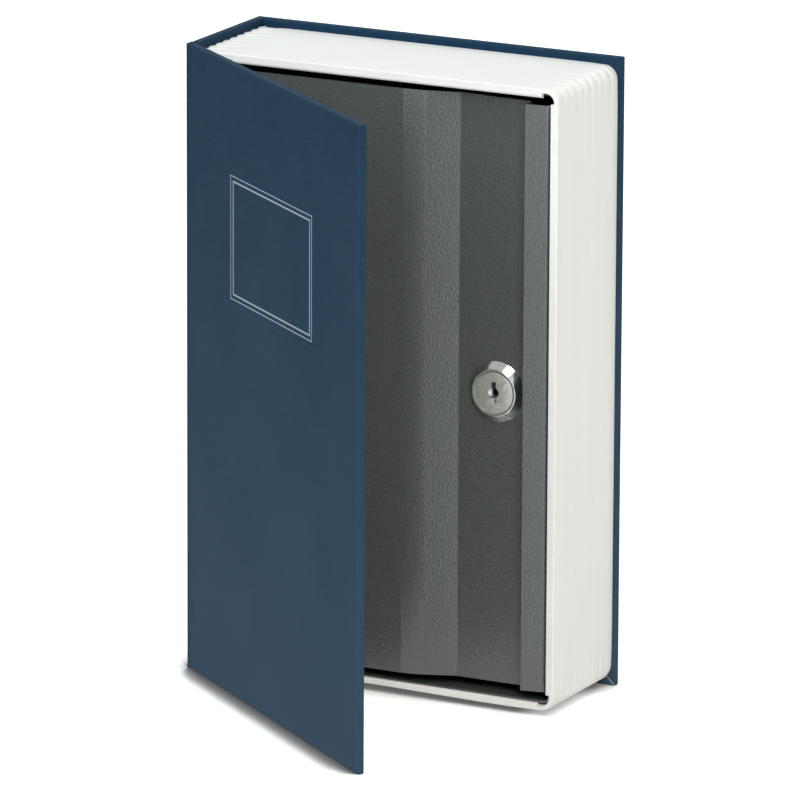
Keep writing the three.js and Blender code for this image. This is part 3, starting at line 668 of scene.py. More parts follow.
# Boards and papers: grey-brown board inside each cover, and off-white paper glued over the board
# and, on the front cover, lapping over the turned-in cloth.
BOARD_INSET = 0.5 * MM
BOARD_DARK = (128, 116, 92)
BOARD_LIGHT = (168, 154, 124)
BOARD_FLECK = (92, 84, 72)
BOARD_RELIEF = 0.08 * MM
PAPER_DARK = (222, 220, 208)
PAPER_LIGHT = (233, 231, 220)
PAPER_CLOUD = (224, 221, 205)
PAPER_RELIEF = 0.02 * MM
PAPER_GAP = 0.1 * MM
PAPER_THICKNESS = 0.16 * MM
PAPER_MARGIN = 4 * MM
PAPER_HINGE_EDGE = 1.4 * MM
PAPER_SINK = 0.3 * MM
STEP_HALF_WIDTH = 0.5 * MM


def grey_board():
    material, tree, shader = start_finish("grey_board", 0.95, **{"Specular IOR Level": 0.2})
    place = object_place(tree)
    fibre = noise(tree, place, scale=900, detail=4.0, rough=0.7)
    fleck = noise(tree, place, scale=3200)
    colour = two_tone(tree, fibre, 0.35, 0.65, BOARD_DARK, BOARD_LIGHT)
    speckled = overlay(tree, colour, fleck, 0.62, 0.72, 0.6, BOARD_FLECK)
    cover_surface(tree, shader, speckled, fibre, BOARD_RELIEF)
    return material


def end_paper():
    material, tree, shader = start_finish("end_paper", 0.85, **{"Specular IOR Level": 0.25})
    place = object_place(tree)
    fibre = noise(tree, place, scale=1400, detail=4.0, rough=0.65)
    cloud = noise(tree, place, scale=45, detail=3.0)
    colour = two_tone(tree, fibre, 0.3, 0.7, PAPER_DARK, PAPER_LIGHT)
    clouded = overlay(tree, colour, cloud, 0.4, 0.7, 0.5, PAPER_CLOUD)
    cover_surface(tree, shader, clouded, fibre, PAPER_RELIEF)
    return material


def refinish(node, finish):
    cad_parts[node].data.materials.clear()
    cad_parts[node].data.materials.append(finish)


board_finish = grey_board()
paper_finish = end_paper()
refinish("spine_board", board_finish)
refinish("front_board", board_finish)
refinish("spine_lining", paper_finish)

# The back cover's board and paper end inside the cloth that runs round on to the spine
back_board_bm = bmesh.new()
slab(
    back_board_bm,
    (SPINE_X + BOARD_INSET, BACK_INNER_Y + BOARD_INSET, BOARD_INSET),
    (FORE_X - BOARD_INSET, BACK_Y - BOARD_INSET, BOOK_HEIGHT - BOARD_INSET),
)
make_piece("back_cover_board", back_board_bm, board_finish, "case", ["back_board"])
back_paper_bm = bmesh.new()
slab(
    back_paper_bm,
    (SPINE_X + COVER_THICKNESS + PAPER_GAP, BACK_INNER_Y, TURN_IN + PAPER_GAP),
    (FORE_X - TURN_IN - PAPER_GAP, BACK_INNER_Y + CLOTH_THICKNESS, BOOK_HEIGHT - TURN_IN - PAPER_GAP),
)
make_piece("back_endpaper", back_paper_bm, paper_finish, "case", ["back_pastedown"])

# The front cover's paper laps over the turned-in cloth and steps down inside it
sheet_bm = bmesh.new()
sheet_corners = [
    sheet_bm.verts.new((x, COVER_THICKNESS, z))
    for x, z in (
        (PAPER_HINGE_EDGE, PAPER_MARGIN),
        (PAPER_HINGE_EDGE, BOOK_HEIGHT - PAPER_MARGIN),
        (COVER_WIDTH - PAPER_MARGIN, BOOK_HEIGHT - PAPER_MARGIN),
        (COVER_WIDTH - PAPER_MARGIN, PAPER_MARGIN),
    )
]
sheet_bm.faces.new(sheet_corners)
for border in (TURN_IN, BOOK_HEIGHT - TURN_IN):
    score_at(sheet_bm, (0, 0, 1), (border - STEP_HALF_WIDTH, border + STEP_HALF_WIDTH))
for border in (HINGE_LAP, COVER_WIDTH - TURN_IN):
    score_at(sheet_bm, (1, 0, 0), (border - STEP_HALF_WIDTH, border + STEP_HALF_WIDTH))
sunk = [vert for vert in sheet_bm.verts if is_inside_turn_in(vert.co)]
bmesh.ops.translate(sheet_bm, vec=(0, -PAPER_SINK, 0), verts=sunk)
thicken(sheet_bm, -PAPER_THICKNESS)
face_outward(sheet_bm)
bmesh.ops.transform(sheet_bm, matrix=open_cover, verts=sheet_bm.verts)
make_piece("front_endpaper", sheet_bm, paper_finish, "front_cover", ["front_pastedown"])


# Page block: one white plastic moulding that copies nine sewn signatures, so its outside swells
# and dips. The dips are deep beside the spine and on the fore-edge corners and fade between them.
BLOCK_X0 = -72.95 * MM
BLOCK_X1 = 74.85 * MM
BLOCK_Z0 = 3 * MM
BLOCK_Z1 = 237 * MM
BLOCK_FRONT_Y = -51.2 * MM
BLOCK_CORNER = 5 * MM
FRONT_ROUNDING = 0.4 * MM
ROUNDING_MARGIN = 0.05 * MM
PAGE_WALL = 1.6 * MM
SIGNATURES = 9
SIGNATURE_PITCH = (BACK_INNER_Y - BLOCK_FRONT_Y) / SIGNATURES
CUTS_PER_SIGNATURE = 8
CUTS_FROM_SPINE = (2, 4, 7, 11, 20, 40, 60, 80, 100, 118, 128, 134, 138)
CUTS_FROM_TABLE = (12, 16, 22, 32, 50, 80, 120, 160, 190, 208, 218, 224, 228)
CORNER_DIP = 0.32 * MM
EDGE_DIP = 0.02 * MM
SPINE_DIP = 1.15 * MM
CORNER_REACH = 8.5 * MM
SPINE_REACH = 5 * MM
SEAM_SHARPNESS = 6
LIP_WIDTH = 0.8 * MM
LIP_ROUNDING = 0.3 * MM
LIP_OVERLAP = 0.3 * MM
TOP_LIP_WIDTH = 2.0 * MM
TOP_LIP_ROUNDING = 1.0 * MM
TOP_LIP_X0 = -59.5 * MM
LIP_THICKNESS = 1.5 * MM
LIP_SINK = 0.02 * MM
FORE_LIP_WIDTH = 1.5 * MM
LIP_RELIEF = 5 * MM
FORE_LIP_RELIEF = 4 * MM
LONG_EDGE = 10 * MM
FOOT_DROP = 0.8 * MM
FOOT_DROP_X = 48 * MM
FOOT_DROP_Z = 8 * MM
PAGE_DARK = (231, 231, 228)
PAGE_LIGHT = (236, 237, 234)
PAGE_CLOUD = (231, 229, 227)
PAGE_RELIEF = 0.02 * MM


def page_plastic():
    material, tree, shader = start_finish("white_page_plastic", 0.5, **{"Specular IOR Level": 0.4})
    place = object_place(tree)
    pages = noise(tree, place, scale=1, detail=3.0, rough=0.6, stretch=(14, 3600, 14))
    sections = noise(tree, place, scale=1, stretch=(9, 420, 9))
    cloud = noise(tree, place, scale=22, detail=3.0)
    tone = weighted_sum(tree, (pages, 0.55), (sections, 0.45))
    colour = two_tone(tree, tone, 0.35, 0.65, PAGE_DARK, PAGE_LIGHT)
    clouded = overlay(tree, colour, cloud, 0.4, 0.7, 0.4, PAGE_CLOUD)
    roughness = rescale(tree, pages, 0.3, 0.7, 0.45, 0.6)
    cover_surface(tree, shader, clouded, tone, PAGE_RELIEF, roughness, strength=0.6)
    return material


block_bm = bmesh.new()
block_corners = ((BLOCK_X0, BLOCK_Z0), (BLOCK_X1, BLOCK_Z0), (BLOCK_X1, BLOCK_Z1), (BLOCK_X0, BLOCK_Z1))
block_bm.faces.new([block_bm.verts.new((x, BLOCK_FRONT_Y, z)) for x, z in block_corners])
bmesh.ops.bevel(
    block_bm,
    geom=[vert for vert in block_bm.verts if vert.co.x > 0],
    offset=BLOCK_CORNER,
    segments=12,
    profile=0.5,
    affect="VERTICES",
    material=-1,
)
front_faces = block_bm.faces[:]
bmesh.ops.inset_region(
    block_bm,
    faces=front_faces,
    thickness=PAGE_WALL,
    use_boundary=True,
    use_even_offset=True,
)
bmesh.ops.delete(block_bm, geom=front_faces, context="FACES_ONLY")
ring_rise = bmesh.ops.extrude_face_region(block_bm, geom=block_bm.faces[:])["geom"]
bmesh.ops.translate(block_bm, vec=(0, BACK_INNER_Y - BLOCK_FRONT_Y, 0), verts=verts_in(ring_rise))
close_up(block_bm)
block_middle = Vector(((BLOCK_X0 + BLOCK_X1) / 2, 0, BOOK_HEIGHT / 2))


def is_outer_front_rim(edge):
    walls = [face for face in edge.link_faces if abs(face.normal.y) < 0.1]
    outward = middle_of(edge) - block_middle
    outward.y = 0
    faces_out = len(walls) > 0 and all(face.normal.dot(outward) > 0 for face in walls)
    return faces_out and lies_at(edge, "y", BLOCK_FRONT_Y)


front_rims = [edge for edge in block_bm.edges if is_outer_front_rim(edge)]
round_edges(block_bm, front_rims, FRONT_ROUNDING, segments=4)
depth_steps = range(1, SIGNATURES * CUTS_PER_SIGNATURE)
cut_pitch = SIGNATURE_PITCH / CUTS_PER_SIGNATURE
score_at(block_bm, (0, 1, 0), [BLOCK_FRONT_Y + step * cut_pitch for step in depth_steps])
score_at(block_bm, (1, 0, 0), [BLOCK_X0 + step * MM for step in CUTS_FROM_SPINE])
score_at(block_bm, (0, 0, 1), [step * MM for step in CUTS_FROM_TABLE])


def dip_depth(point):
    to_corner = min((point - Vector((BLOCK_X1, point.y, z))).length for z in (BLOCK_Z0, BLOCK_Z1))
    near_corner = math.exp(-((to_corner / CORNER_REACH) ** 2))
    near_spine = math.exp(-(((point.x - BLOCK_X0) / SPINE_REACH) ** 2))
    return EDGE_DIP + (CORNER_DIP - EDGE_DIP) * near_corner + (SPINE_DIP - EDGE_DIP) * near_spine


def inward_at(point):
    for centre_z in (BLOCK_Z0 + BLOCK_CORNER, BLOCK_Z1 - BLOCK_CORNER):
        spoke = Vector((point.x - (BLOCK_X1 - BLOCK_CORNER), 0, point.z - centre_z))
        if spoke.x > 0 and spoke.z * (centre_z - BOOK_HEIGHT / 2) > 0:
            outside = spoke.length > BLOCK_CORNER - FRONT_ROUNDING - ROUNDING_MARGIN
            return -spoke.normalized() if outside else Vector((0, 0, 0))
    for distance, inward in (
        (point.x - BLOCK_X0, (1, 0, 0)),
        (BLOCK_X1 - point.x, (-1, 0, 0)),
        (point.z - BLOCK_Z0, (0, 0, 1)),
        (BLOCK_Z1 - point.z, (0, 0, -1)),
    ):
        if distance < FRONT_ROUNDING + NEAR:
            return Vector(inward)
    return Vector((0, 0, 0))


for vert in block_bm.verts:
    phase = (vert.co.y - BLOCK_FRONT_Y) / SIGNATURE_PITCH
    seam = abs(math.cos(math.pi * phase)) ** SEAM_SHARPNESS
    vert.co += inward_at(vert.co) * dip_depth(vert.co) * seam

# A lip round the opening lies over the box's rim: narrow at the spine and the foot, wider on the
# fore-edge and the top. Strips that cross lie at slightly different depths.
lip_x0 = BLOCK_X0 + PAGE_WALL - LIP_OVERLAP
lip_x1 = BLOCK_X1 - PAGE_WALL + LIP_OVERLAP
lip_z0 = BLOCK_Z0 + PAGE_WALL - LIP_OVERLAP
lip_z1 = BLOCK_Z1 - PAGE_WALL + LIP_OVERLAP
lip_reach = LIP_WIDTH + LIP_OVERLAP
top_reach = TOP_LIP_WIDTH + LIP_OVERLAP
fore_reach = FORE_LIP_WIDTH + LIP_OVERLAP
lip_end = BLOCK_X1 - PAGE_WALL - LIP_RELIEF
fore_z = (BLOCK_Z0 + PAGE_WALL + FORE_LIP_RELIEF, BLOCK_Z1 - PAGE_WALL - FORE_LIP_RELIEF)
for (x0, x1), (z0, z1), rounding, sink in (
    ((lip_x0, lip_x0 + lip_reach), (lip_z0, lip_z1), LIP_ROUNDING, 2 * LIP_SINK),
    ((lip_x1 - fore_reach, lip_x1), fore_z, LIP_ROUNDING, LIP_SINK),
    ((lip_x0, lip_end), (lip_z0, lip_z0 + lip_reach), LIP_ROUNDING, LIP_SINK),
    ((lip_x0, TOP_LIP_X0 + LIP_WIDTH), (lip_z1 - lip_reach, lip_z1), LIP_ROUNDING, 3 * LIP_SINK),
    ((TOP_LIP_X0, lip_end), (lip_z1 - top_reach, lip_z1), TOP_LIP_ROUNDING, LIP_SINK),
):
    lip_front = BLOCK_FRONT_Y + sink
    strip = slab(block_bm, (x0, lip_front, z0), (x1, BLOCK_FRONT_Y + LIP_THICKNESS, z1))
    strip_middle = Vector(((x0 + x1) / 2, 0, (z0 + z1) / 2))
    rims = [
        edge
        for edge in {edge for vert in strip for edge in vert.link_edges}
        if edge.calc_length() > LONG_EDGE
        and lies_at(edge, "y", lip_front)
        and (middle_of(edge) - strip_middle).dot(block_middle - strip_middle) > 0
    ]
    round_edges(block_bm, rims, rounding, segments=4)
for vert in block_bm.verts:
    along = min(1, max(0, vert.co.x / FOOT_DROP_X))
    low = min(1, max(0, (FOOT_DROP_Z - vert.co.z) / (FOOT_DROP_Z - BLOCK_Z0)))
    vert.co.z -= FOOT_DROP * along * low
plastic = page_plastic()
block_nodes = ["page_block_frame"]
make_piece(
    "page_block", block_bm, plastic, "case", block_nodes, crease=50, flat_over=0.5 * MM
)


# Box: a tray of thin sheet steel in dark grey hammered enamel, which fills the page block from
# the back cover to the lid. The strike angle inside it, which the cam goes behind, is painted too.
BOX_INNER_X1 = 72.15 * MM
STRIKE_X0 = 63.65 * MM
STRIKE_FRONT_Y = -34.75 * MM
STRIKE_STEEL = 1.2 * MM
STRIKE_BEND = 1.8 * MM
STRIKE_BURR = 0.15 * MM
STRIKE_LEG_END_Y = STRIKE_FRONT_Y + 12 * MM
STRIKE_Z = (100 * MM, 140 * MM)
ENAMEL_DARK = (62, 68, 69)
ENAMEL_LIGHT = (69, 75, 75)
ENAMEL_CLOUD = (67, 72, 71)
ENAMEL_RELIEF = 0.052 * MM


def hammered_enamel():
    material, tree, shader = start_finish(
        "grey_hammered_enamel", 0.3, **{"Metallic": 0.1, "Specular IOR Level": 0.7, "IOR": 1.68}
    )
    place = object_place(tree)
    hammered = noise(tree, place, scale=1650, detail=1.5, rough=0.55, stretch=(1, 1, 0.6))
    fine = noise(tree, place, scale=3600)
    cloud = noise(tree, place, scale=70, detail=3.0)
    colour = two_tone(tree, hammered, 0.3, 0.7, ENAMEL_DARK, ENAMEL_LIGHT)
    clouded = overlay(tree, colour, cloud, 0.4, 0.7, 0.5, ENAMEL_CLOUD)
    dimples = rescale(tree, hammered, 0.38, 0.62, 0.0, 1.0)
    height = combine(tree, "ADD", dimples, combine(tree, "MULTIPLY", fine, 0.08))
    cover_surface(tree, shader, clouded, height, ENAMEL_RELIEF, rescale(tree, fine, 0.3, 0.7, 0.24, 0.34))
    return material


def bent_sheet(bm, corners, foot, head):
    line = [bm.verts.new((x, y, foot)) for x, y in corners]
    edges = [bm.edges.new(pair) for pair in zip(line, line[1:])]
    risen = bmesh.ops.extrude_edge_only(bm, edges=edges)["geom"]
    bmesh.ops.translate(bm, vec=(0, 0, head - foot), verts=verts_in(risen))


def bend_at(bm, x, y, offset, segments):
    edges = [edge for edge in bm.edges if lies_at(edge, "x", x) and lies_at(edge, "y", y)]
    round_edges(bm, [edge for edge in edges if len(edge.link_faces) == 2], offset, segments)


def face_front(bm, front_face):
    if front_face.normal.y > 0:
        bmesh.ops.reverse_faces(bm, faces=bm.faces)


def is_square_edge(edge):
    return edge.calc_face_angle(0) > math.radians(60)


enamel = hammered_enamel()
refinish("box_shell", enamel)
strike_bm = bmesh.new()
bent_sheet(
    strike_bm,
    ((STRIKE_X0, STRIKE_FRONT_Y), (BOX_INNER_X1, STRIKE_FRONT_Y), (BOX_INNER_X1, STRIKE_LEG_END_Y)),
    *STRIKE_Z,
)
bend_at(strike_bm, BOX_INNER_X1, STRIKE_FRONT_Y, STRIKE_BEND, 6)
strike_bm.normal_update()
face_front(strike_bm, min(strike_bm.faces, key=lambda face: face.calc_center_median().x))
thicken(strike_bm, STRIKE_STEEL)
face_outward(strike_bm)
strike_rims = [edge for edge in strike_bm.edges if is_square_edge(edge)]
round_edges(strike_bm, strike_rims, STRIKE_BURR, segments=2)
make_piece("strike_angle", strike_bm, enamel, "case", ["strike_bracket"])


# Hinge rod: a plain zinc-plated wire through the rolled edge of the lid, held at both ends in the
# box's walls
STEEL_DULL = (156, 158, 160)
STEEL_BRIGHT = (192, 194, 194)
STEEL_RELIEF = 0.01 * MM


def plated_steel():
    material, tree, shader = start_finish("zinc_plated_steel", 0.34, **{"Metallic": 1.0})
    place = object_place(tree)
    drawn = noise(tree, place, scale=1, detail=3.0, stretch=(2600, 2600, 160))
    cloud = noise(tree, place, scale=240, detail=3.0)
    tone = weighted_sum(tree, (drawn, 0.5), (cloud, 0.5))
    colour = two_tone(tree, tone, 0.35, 0.65, STEEL_DULL, STEEL_BRIGHT)
    cover_surface(tree, shader, colour, drawn, STEEL_RELIEF, rescale(tree, tone, 0.3, 0.7, 0.26, 0.44))
    return material


steel = plated_steel()
refinish("hinge_rod", steel)


# Lid: one bent steel sheet. Its hinge side is rolled round the rod; then come the flat part, a
# soft fold, the slope down to the lock's recess, the raised rim and the flange behind it.
HINGE_X = -66.45 * MM
HINGE_Y = -47.9 * MM
LID_STEEL = 1.0 * MM
LID_FACE_Y = -50.5 * MM
SLOPE_X0 = 15.95 * MM
SLOPE_BEND = 4.5 * MM
RECESS_X0 = 32.15 * MM
RECESS_Y = -44.95 * MM
RECESS_BEND = 0.25 * MM
RIM_X0 = 61.05 * MM
LID_X1 = 70.95 * MM
RIM_Y = LID_FACE_Y - 0.45 * MM
RIM_FALL = 2.1 * MM
RIM_FOOT_BEND = 1.0 * MM
RIM_EDGE_BEND = 0.35 * MM
RIM_ROUNDING = 2.0 * MM
FLANGE_END_Y = -35.05 * MM
LID_Z = (8.9 * MM, 231.1 * MM)
LID_BURR = 0.2 * MM
TOP_EDGE_FALL = 0.7 * MM
CURL_Z = (6.1 * MM, 233.9 * MM)
CURL_TAB = 5 * MM
CURL_TURN = math.radians(-290)
LOCK_X = 47.85 * MM
LOCK_Z = 120 * MM
HOLE_PATCH = 10.6 * MM
HOLE_RADIUS = 9.2 * MM
HOLE_HALF_WIDTH = 8.0 * MM
HOLE_BORDER = 1 * MM

lid_bm = bmesh.new()
bent_sheet(
    lid_bm,
    (
        (HINGE_X, LID_FACE_Y),
        (SLOPE_X0, LID_FACE_Y),
        (RECESS_X0, RECESS_Y),
        (RIM_X0, RECESS_Y),
        (RIM_X0, RIM_Y),
        (LID_X1, RIM_Y + RIM_FALL),
        (LID_X1, FLANGE_END_Y),
    ),
    *CURL_Z,
)
for x, y, radius, steps in (
    (SLOPE_X0, LID_FACE_Y, SLOPE_BEND, 10),
    (RECESS_X0, RECESS_Y, RECESS_BEND, 3),
    (RIM_X0, RECESS_Y, RIM_FOOT_BEND, 5),
    (RIM_X0, RIM_Y, RIM_EDGE_BEND, 4),
    (LID_X1, RIM_Y + RIM_FALL, RIM_ROUNDING, 8),
):
    bend_at(lid_bm, x, y, radius, steps)
bmesh.ops.spin(
    lid_bm,
    geom=[edge for edge in lid_bm.edges if lies_at(edge, "x", HINGE_X)],
    cent=(HINGE_X, HINGE_Y, 0),
    axis=(0, 0, 1),
    angle=CURL_TURN,
    steps=26,
    use_merge=False,
)
bmesh.ops.remove_doubles(lid_bm, verts=lid_bm.verts, dist=NEAR)
score_at(lid_bm, (0, 0, 1), (*LID_Z, LOCK_Z - HOLE_PATCH, LOCK_Z + HOLE_PATCH))
score_at(lid_bm, (1, 0, 0), (HINGE_X + CURL_TAB, LOCK_X - HOLE_PATCH, LOCK_X + HOLE_PATCH))
beyond = [
    face
    for face in lid_bm.faces
    if face.calc_center_median().x > HINGE_X + CURL_TAB
    and not LID_Z[0] < face.calc_center_median().z < LID_Z[1]
]
bmesh.ops.delete(lid_bm, geom=beyond, context="FACES")
for vert in lid_bm.verts:
    if abs(vert.co.z - LID_Z[1]) < NEAR and vert.co.x > SLOPE_X0:
        vert.co.z -= TOP_EDGE_FALL * (vert.co.x - SLOPE_X0) / (LID_X1 - SLOPE_X0)


def lock_patch(bm):
    centre = Vector((LOCK_X, RECESS_Y, LOCK_Z))
    return min(bm.faces, key=lambda face: (face.calc_center_median() - centre).length)


bmesh.ops.subdivide_edges(lid_bm, edges=lock_patch(lid_bm).edges[:], cuts=7)
hole = lock_patch(lid_bm)
bmesh.ops.inset_region(lid_bm, faces=[hole], thickness=HOLE_BORDER, use_boundary=True)
for vert in hole.verts:
    spoke = Vector((vert.co.x - LOCK_X, 0, vert.co.z - LOCK_Z)).normalized() * HOLE_RADIUS
    vert.co.x = LOCK_X + max(-HOLE_HALF_WIDTH, min(HOLE_HALF_WIDTH, spoke.x))
    vert.co.z = LOCK_Z + spoke.z
bmesh.ops.delete(lid_bm, geom=[hole], context="FACES_ONLY")
face_outward(lid_bm)
face_front(lid_bm, max(lid_bm.faces, key=lambda face: face.calc_area()))
thicken(lid_bm, LID_STEEL)
face_outward(lid_bm)


def is_at_lid_end(vert):
    at_end = vert.co.z > LID_Z[1] - 2 * TOP_EDGE_FALL or vert.co.z < LID_Z[0] + NEAR
    return at_end and vert.co.x > HINGE_X + CURL_TAB + NEAR


lid_rims = [edge for edge in lid_bm.edges if is_square_edge(edge) and all(map(is_at_lid_end, edge.verts))]
round_edges(lid_bm, lid_rims, LID_BURR, segments=2)
make_piece("lid_sheet", lid_bm, enamel, "lid", ["lid_panel"])


# Lock: a chrome-plated casting with a conical bezel and a threaded barrel with two flats. The
# plug's cap lies in the bezel; behind the panel are washer, nut, stop washer, cam and screw.
LOCK_FACE_Y = -47.95 * MM
BEZEL_BASE_RADIUS = 11.5 * MM
BEZEL_FACE_RADIUS = 8.8 * MM
BEZEL_CHAMFER = 0.1 * MM
BEZEL_SKIRT = 0.28 * MM
CAP_RADIUS = 7.8 * MM
CAP_DEPTH = 1.2 * MM
CAP_GAP = 0.1 * MM
CAP_BURR = 0.14 * MM
BARREL_RADIUS = 9.0 * MM
BARREL_HALF_WIDTH = 7.8 * MM
BARREL_END_Y = -33.95 * MM
BARREL_CHAMFER = 0.4 * MM
THREAD_Y0 = RECESS_Y + 1.6 * MM
THREAD_PITCH = 1.0 * MM
THREAD_DEPTH = 0.35 * MM
BORE_RADIUS = 5.55 * MM
PLUG_RADIUS = 5.45 * MM
PLUG_KEYED_DEPTH = 12.0 * MM
PLUG_OVERLAP = 0.2 * MM
SHANK_HALF_WIDTH = 3 * MM
SHANK_SINK = 0.5 * MM
SHANK_END_Y = -31.25 * MM
STOP_RADIUS = 7.4 * MM
STOP_HALF_ANGLE = math.radians(10)
STOP_SINK = 1 * MM
STOP_PROUD = 0.5 * MM
ROUND_STEPS = 64
POLISHED_TONES = ((196, 198, 200), (212, 213, 214))
SATIN_TONES = ((212, 213, 212), (226, 226, 224))
CHROME_RELIEF = 0.002 * MM


def chrome_plate(name, roughness, tones):
    material, tree, shader = start_finish(name, roughness, **{"Metallic": 1.0})
    place = object_place(tree)
    smear = noise(tree, place, scale=700, detail=4.0, rough=0.7)
    pit = noise(tree, place, scale=5200, detail=1.0)
    colour = two_tone(tree, smear, 0.35, 0.65, *tones)
    smeared = rescale(tree, smear, 0.3, 0.7, roughness * 0.8, roughness * 1.2)
    cover_surface(tree, shader, colour, pit, CHROME_RELIEF, smeared)
    return material


def turn(bm, profile, closed=True):
    line = [bm.verts.new((LOCK_X + radius, y, LOCK_Z)) for radius, y in profile]
    edges = [bm.edges.new(pair) for pair in zip(line, line[1:])]
    if closed:
        edges.append(bm.edges.new((line[-1], line[0])))
    bmesh.ops.spin(
        bm,
        geom=line + edges,
        cent=(LOCK_X, 0, LOCK_Z),
        axis=(0, 1, 0),
        angle=2 * math.pi,
        steps=ROUND_STEPS,
        use_merge=True,
    )


housing_bm = bmesh.new()
barrel_core = BARREL_RADIUS - THREAD_DEPTH
thread_profile = []
y = THREAD_Y0
while y < BARREL_END_Y - THREAD_PITCH:
    thread_profile += [
        (barrel_core, y),
        (BARREL_RADIUS, y + THREAD_PITCH * 0.4),
        (BARREL_RADIUS, y + THREAD_PITCH * 0.6),
    ]
    y += THREAD_PITCH
turn(
    housing_bm,
    [
        (CAP_RADIUS + CAP_GAP, LOCK_FACE_Y + 1.5 * BEZEL_CHAMFER),
        (CAP_RADIUS + CAP_GAP + 1.2 * BEZEL_CHAMFER, LOCK_FACE_Y),
        (BEZEL_FACE_RADIUS - BEZEL_CHAMFER, LOCK_FACE_Y),
        (BEZEL_FACE_RADIUS + 1.2 * BEZEL_CHAMFER, LOCK_FACE_Y + BEZEL_CHAMFER),
        (BEZEL_BASE_RADIUS - BEZEL_CHAMFER, RECESS_Y - BEZEL_SKIRT - 1.2 * BEZEL_CHAMFER),
        (BEZEL_BASE_RADIUS, RECESS_Y - BEZEL_SKIRT),
        (BEZEL_BASE_RADIUS, RECESS_Y),
        (barrel_core, RECESS_Y),
        *thread_profile,
        (barrel_core, BARREL_END_Y - BARREL_CHAMFER),
        (barrel_core - BARREL_CHAMFER, BARREL_END_Y),
        (BORE_RADIUS, BARREL_END_Y),
        (BORE_RADIUS, LOCK_FACE_Y + CAP_DEPTH + CAP_GAP),
        (CAP_RADIUS + CAP_GAP, LOCK_FACE_Y + CAP_DEPTH + CAP_GAP),
    ],
)
for vert in housing_bm.verts:
    if vert.co.y > RECESS_Y + NEAR:
        vert.co.x = LOCK_X + max(-BARREL_HALF_WIDTH, min(BARREL_HALF_WIDTH, vert.co.x - LOCK_X))
close_up(housing_bm)

# A short stop stands out of the barrel's end and limits the stop washer to a quarter turn
stop_root = BORE_RADIUS + 0.2 * MM
stop_corners = [
    Vector((LOCK_X + radius * math.sin(STOP_HALF_ANGLE), y, LOCK_Z - radius * math.cos(STOP_HALF_ANGLE)))
    for radius, y in (
        (stop_root, BARREL_END_Y - STOP_SINK),
        (STOP_RADIUS, BARREL_END_Y - STOP_SINK),
        (STOP_RADIUS, BARREL_END_Y + STOP_PROUD),
        (stop_root, BARREL_END_Y + STOP_PROUD),
    )
]
bmesh.ops.spin(
    housing_bm,
    geom=[housing_bm.faces.new([housing_bm.verts.new(corner) for corner in stop_corners])],
    cent=(LOCK_X, 0, LOCK_Z),
    axis=(0, 1, 0),
    angle=2 * STOP_HALF_ANGLE,
    steps=4,
)
face_outward(housing_bm)
polished = chrome_plate("polished_chrome", 0.12, POLISHED_TONES)
make_piece(
    "bezel_and_barrel", housing_bm, polished, "lid", ["lock_housing"], crease=12, flat_over=9 * MM
)

# The keyway: a slot with a round bulge in its middle and a foot set to the right. In the cap it
# narrows from front to back, and in the plug behind the cap it is narrow throughout.
HALF_SLOT = 0.95 * MM
BULGE = 2.1 * MM
FOOT_RIGHT = 1.2 * MM
FOOT_LEFT = -0.4 * MM
DEEP_FOOT_LEFT = 0.35 * MM
KEYWAY_FOOT = -3.9 * MM
KEYWAY_HEAD = 4.2 * MM
KEYWAY_REACH = 4.4 * MM


def keyway_outline(bm, y):
    slot_meet = math.sqrt(BULGE**2 - HALF_SLOT**2)
    foot_meet = -math.sqrt(BULGE**2 - FOOT_RIGHT**2)
    bottom_meet = -math.sqrt(BULGE**2 - FOOT_LEFT**2)
    right_turn = math.atan2(slot_meet, HALF_SLOT) - math.atan2(foot_meet, FOOT_RIGHT)
    left_turn = 2 * math.pi + math.atan2(bottom_meet, FOOT_LEFT) - math.atan2(slot_meet, -HALF_SLOT)
    centre = Vector((LOCK_X, y, LOCK_Z))
    top_right = bm.verts.new(centre + Vector((HALF_SLOT, 0, slot_meet)))
    right_arc = bmesh.ops.spin(bm, geom=[top_right], cent=centre, axis=(0, 1, 0), angle=right_turn, steps=8)
    foot_start = verts_in(right_arc["geom_last"])[0]
    bottom = bm.verts.new(centre + Vector((FOOT_LEFT, 0, bottom_meet)))
    left_arc = bmesh.ops.spin(bm, geom=[bottom], cent=centre, axis=(0, 1, 0), angle=left_turn, steps=9)
    slot_start = verts_in(left_arc["geom_last"])[0]
    foot = [bm.verts.new(centre + Vector((x, 0, KEYWAY_FOOT))) for x in (FOOT_RIGHT, FOOT_LEFT)]
    head = [bm.verts.new(centre + Vector((x, 0, KEYWAY_HEAD))) for x in (-HALF_SLOT, HALF_SLOT)]
    for path in ([foot_start, *foot, bottom], [slot_start, *head, top_right]):
        for start, end in zip(path, path[1:]):
            bm.edges.new((start, end))


def narrow_keyway(verts):
    for vert in verts:
        x = vert.co.x - LOCK_X
        z = vert.co.z - LOCK_Z
        if math.hypot(x, z) < KEYWAY_REACH:
            left_limit = DEEP_FOOT_LEFT if z < -BULGE * 0.95 else -HALF_SLOT
            vert.co.x = LOCK_X + max(x, left_limit)


